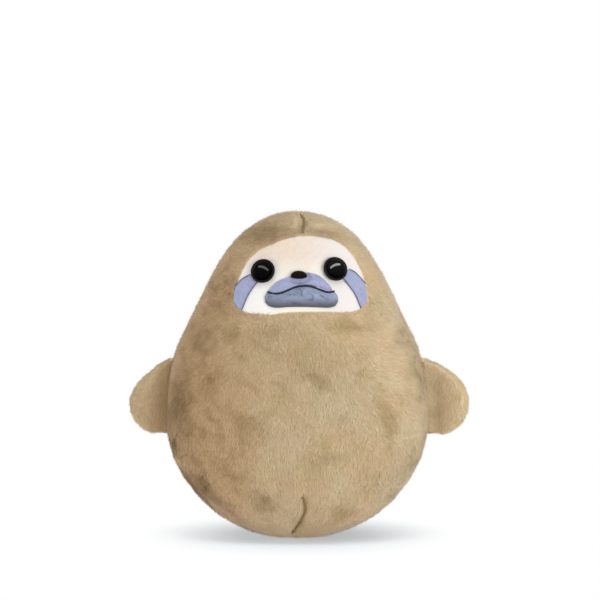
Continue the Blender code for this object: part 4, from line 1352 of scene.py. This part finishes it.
shot = dict(raiseDeg=6.0, distance=4.6, lens=300.0, toyMiddle=(0.0023, 0.0, 0.150), pictureRise=0.0673)


def aimAt(thing, place):
    thing.rotation_euler = (Vector(place) - thing.location).to_track_quat("-Z", "Y").to_euler()


def makeCamera():
    lens = bpy.data.cameras.new("photoView")
    lens.lens = shot["lens"]
    camera = newPiece("photoView", lens)
    tilt = math.radians(shot["raiseDeg"])
    middle = Vector(shot["toyMiddle"])
    camera.location = middle + shot["distance"] * Vector((0.0, -math.cos(tilt), math.sin(tilt)))
    aimAt(camera, middle + shot["pictureRise"] * Vector((0.0, math.sin(tilt), math.cos(tilt))))
    bpy.context.scene.camera = camera


# Studio light: a broad key from the right, a weak fill from the left, a soft top light and a pale room

studio = dict(
    keyPlace=(1.6, -2.0, 0.28), keySize=1.8, keyPower=46.0,
    fillPlace=(-2.3, -0.8, 0.3), fillSize=1.4, fillPower=12.0,
    topPlace=(0.0, -0.55, 1.9), topSize=0.8, topPower=7.0, room=0.40, roomTint=(1.0, 0.97, 0.93, 1.0),
    floorSize=14.0, floorDrop=0.2 * mm, cardTint=(0.86, 0.86, 0.87, 1.0), bounce=0.30,
    bounceTint=(1.0, 0.98, 0.95, 1.0), paperTint=(0.94, 0.97, 1.0, 1.0), floorGlow=0.39,
    glowTint=(0.74, 0.88, 1.0, 1.0), shadowNear=0.05, shadowFar=0.155,
)
glint = dict(outerEnd=(-2.6, 2.6), innerEnd=(6.4, -1.6), distance=0.30, width=0.07, eyeDepth=4.5 * mm,
             powers=dict(left=6.0, right=18.0))


def seenAs(tree, lit, seen, output):
    # lit is what lights the toy, and seen is what the camera, gloss and glass show
    path = addNode(tree, "ShaderNodeLightPath").outputs
    bright = sums(tree, "MAXIMUM", path["Is Glossy Ray"], path["Is Transmission Ray"])
    looks = sums(tree, "MAXIMUM", path["Is Camera Ray"], bright)
    plug(tree, joined(tree, "ShaderNodeMixShader", looks, lit, seen), addNode(tree, output).inputs["Surface"])


def glowing(tree, colour, strength, kind="Emission"):
    return addNode(tree, "ShaderNode" + kind, Color=colour, Strength=strength).outputs[0]


def makeFloor():
    bpy.ops.mesh.primitive_plane_add(size=studio["floorSize"], location=(0, 0, -studio["floorDrop"]))
    floor = bpy.context.view_layer.objects.active
    floor.name = "studio_floor"
    material = bpy.data.materials.new("studioFloor")
    material.use_nodes = True
    tree = material.node_tree
    tree.nodes.clear()
    # the paper throws light up at the toy, and the key's share of that is given here
    card, paper = (addNode(tree, "ShaderNodeBsdfDiffuse", Color=studio[tint]).outputs[0]
                   for tint in ("cardTint", "paperTint"))
    thrown = glowing(tree, studio["bounceTint"], studio["bounce"])
    glow = glowing(tree, studio["glowTint"], studio["floorGlow"])
    # its own colour shows near the toy, where the shadow lies, and plain white further off
    spot = addNode(tree, "ShaderNodeTexCoord").outputs["Object"]
    off = addNode(tree, "ShaderNodeVectorMath", dict(operation="LENGTH"), Vector=spot).outputs["Value"]
    far = spread(tree, off, studio["shadowNear"], studio["shadowFar"])
    both = joined(tree, "ShaderNodeAddShader", paper, glow)
    seen = joined(tree, "ShaderNodeMixShader", far, both, glowing(tree, plainWhite, 1.0))
    seenAs(tree, joined(tree, "ShaderNodeAddShader", card, thrown), seen, "ShaderNodeOutputMaterial")
    floor.data.materials.append(material)
    return floor


def makeWorld():
    world = bpy.data.worlds.new("studioRoom")
    bpy.context.scene.world = world
    world.use_nodes = True
    tree = world.node_tree
    tree.nodes.clear()
    shade = glowing(tree, studio["roomTint"], studio["room"], "Background")
    seenAs(tree, shade, glowing(tree, plainWhite, 1.0, "Background"), "ShaderNodeOutputWorld")


def areaLight(name, place, size, power):
    lamp = bpy.data.lights.new(name, "AREA")
    lamp.energy = power
    lamp.shape = "DISK"
    lamp.size = size
    holder = newPiece(name, lamp)
    holder.location = place
    aimAt(holder, shot["toyMiddle"])
    holder.visible_glossy = False
    return holder


def glintLight(side):
    # a long strip whose reflection runs between two places on one eye's dome, and that lights nothing else
    middle, axis = eyePlaces[side]
    inward = np.array([-float(outwards[side]), 0.0, 0.0])
    inward = unit(inward - (inward @ axis) * axis)
    up = np.cross(axis, inward)
    up = up if up[2] > 0 else -up
    eyeTop = Vector(middle + axis * glint["eyeDepth"])
    view = (bpy.context.scene.camera.location - eyeTop).normalized()
    radius = eyes["domeRadius"]
    ends = []
    for across, rise in (glint["outerEnd"], glint["innerEnd"]):
        off = math.hypot(across, rise) * mm
        slope = eyes["domeHeight"] / radius ** 2 / math.sqrt(1 - (off / radius) ** 2)
        normal = Vector(axis + (up * rise + inward * across) * mm * slope).normalized()
        ends.append(eyeTop + glint["distance"] * (2 * normal.dot(view) * normal - view))
    run = ends[1] - ends[0]
    holder = areaLight(side + "GlintLight", (ends[0] + ends[1]) / 2, run.length, glint["powers"][side])
    holder.data.shape = "RECTANGLE"
    holder.data.size_y = glint["width"]
    toEye = (eyeTop - holder.location).normalized()
    along = (run - run.dot(toEye) * toEye).normalized()
    holder.rotation_euler = Matrix((along, (-toEye).cross(along), -toEye)).transposed().to_euler()
    holder.visible_glossy = True
    holder.visible_camera = False
    only = bpy.data.collections.new(side + "GlintOnly")
    only.objects.link(bpy.data.objects[side + "_eye_dome"])
    holder.light_linking.receiver_collection = only


floor = makeFloor()
makeWorld()
makeCamera()
lights = {}
for name in ("key", "fill", "top"):
    facts = (studio[name + what] for what in ("Place", "Size", "Power"))
    lights[name] = areaLight(name + "Light", *facts)
# the key is flagged off the floor, which keeps the soft shadow under the toy
flagged = bpy.data.collections.new("flaggedFromKey")
flagged.objects.link(floor)
lights["key"].light_linking.receiver_collection = flagged
flagged.collection_objects[0].light_linking.link_state = "EXCLUDE"
for side in outwards:
    glintLight(side)
bpy.context.scene.view_settings.view_transform = "Standard"
print("stage set")
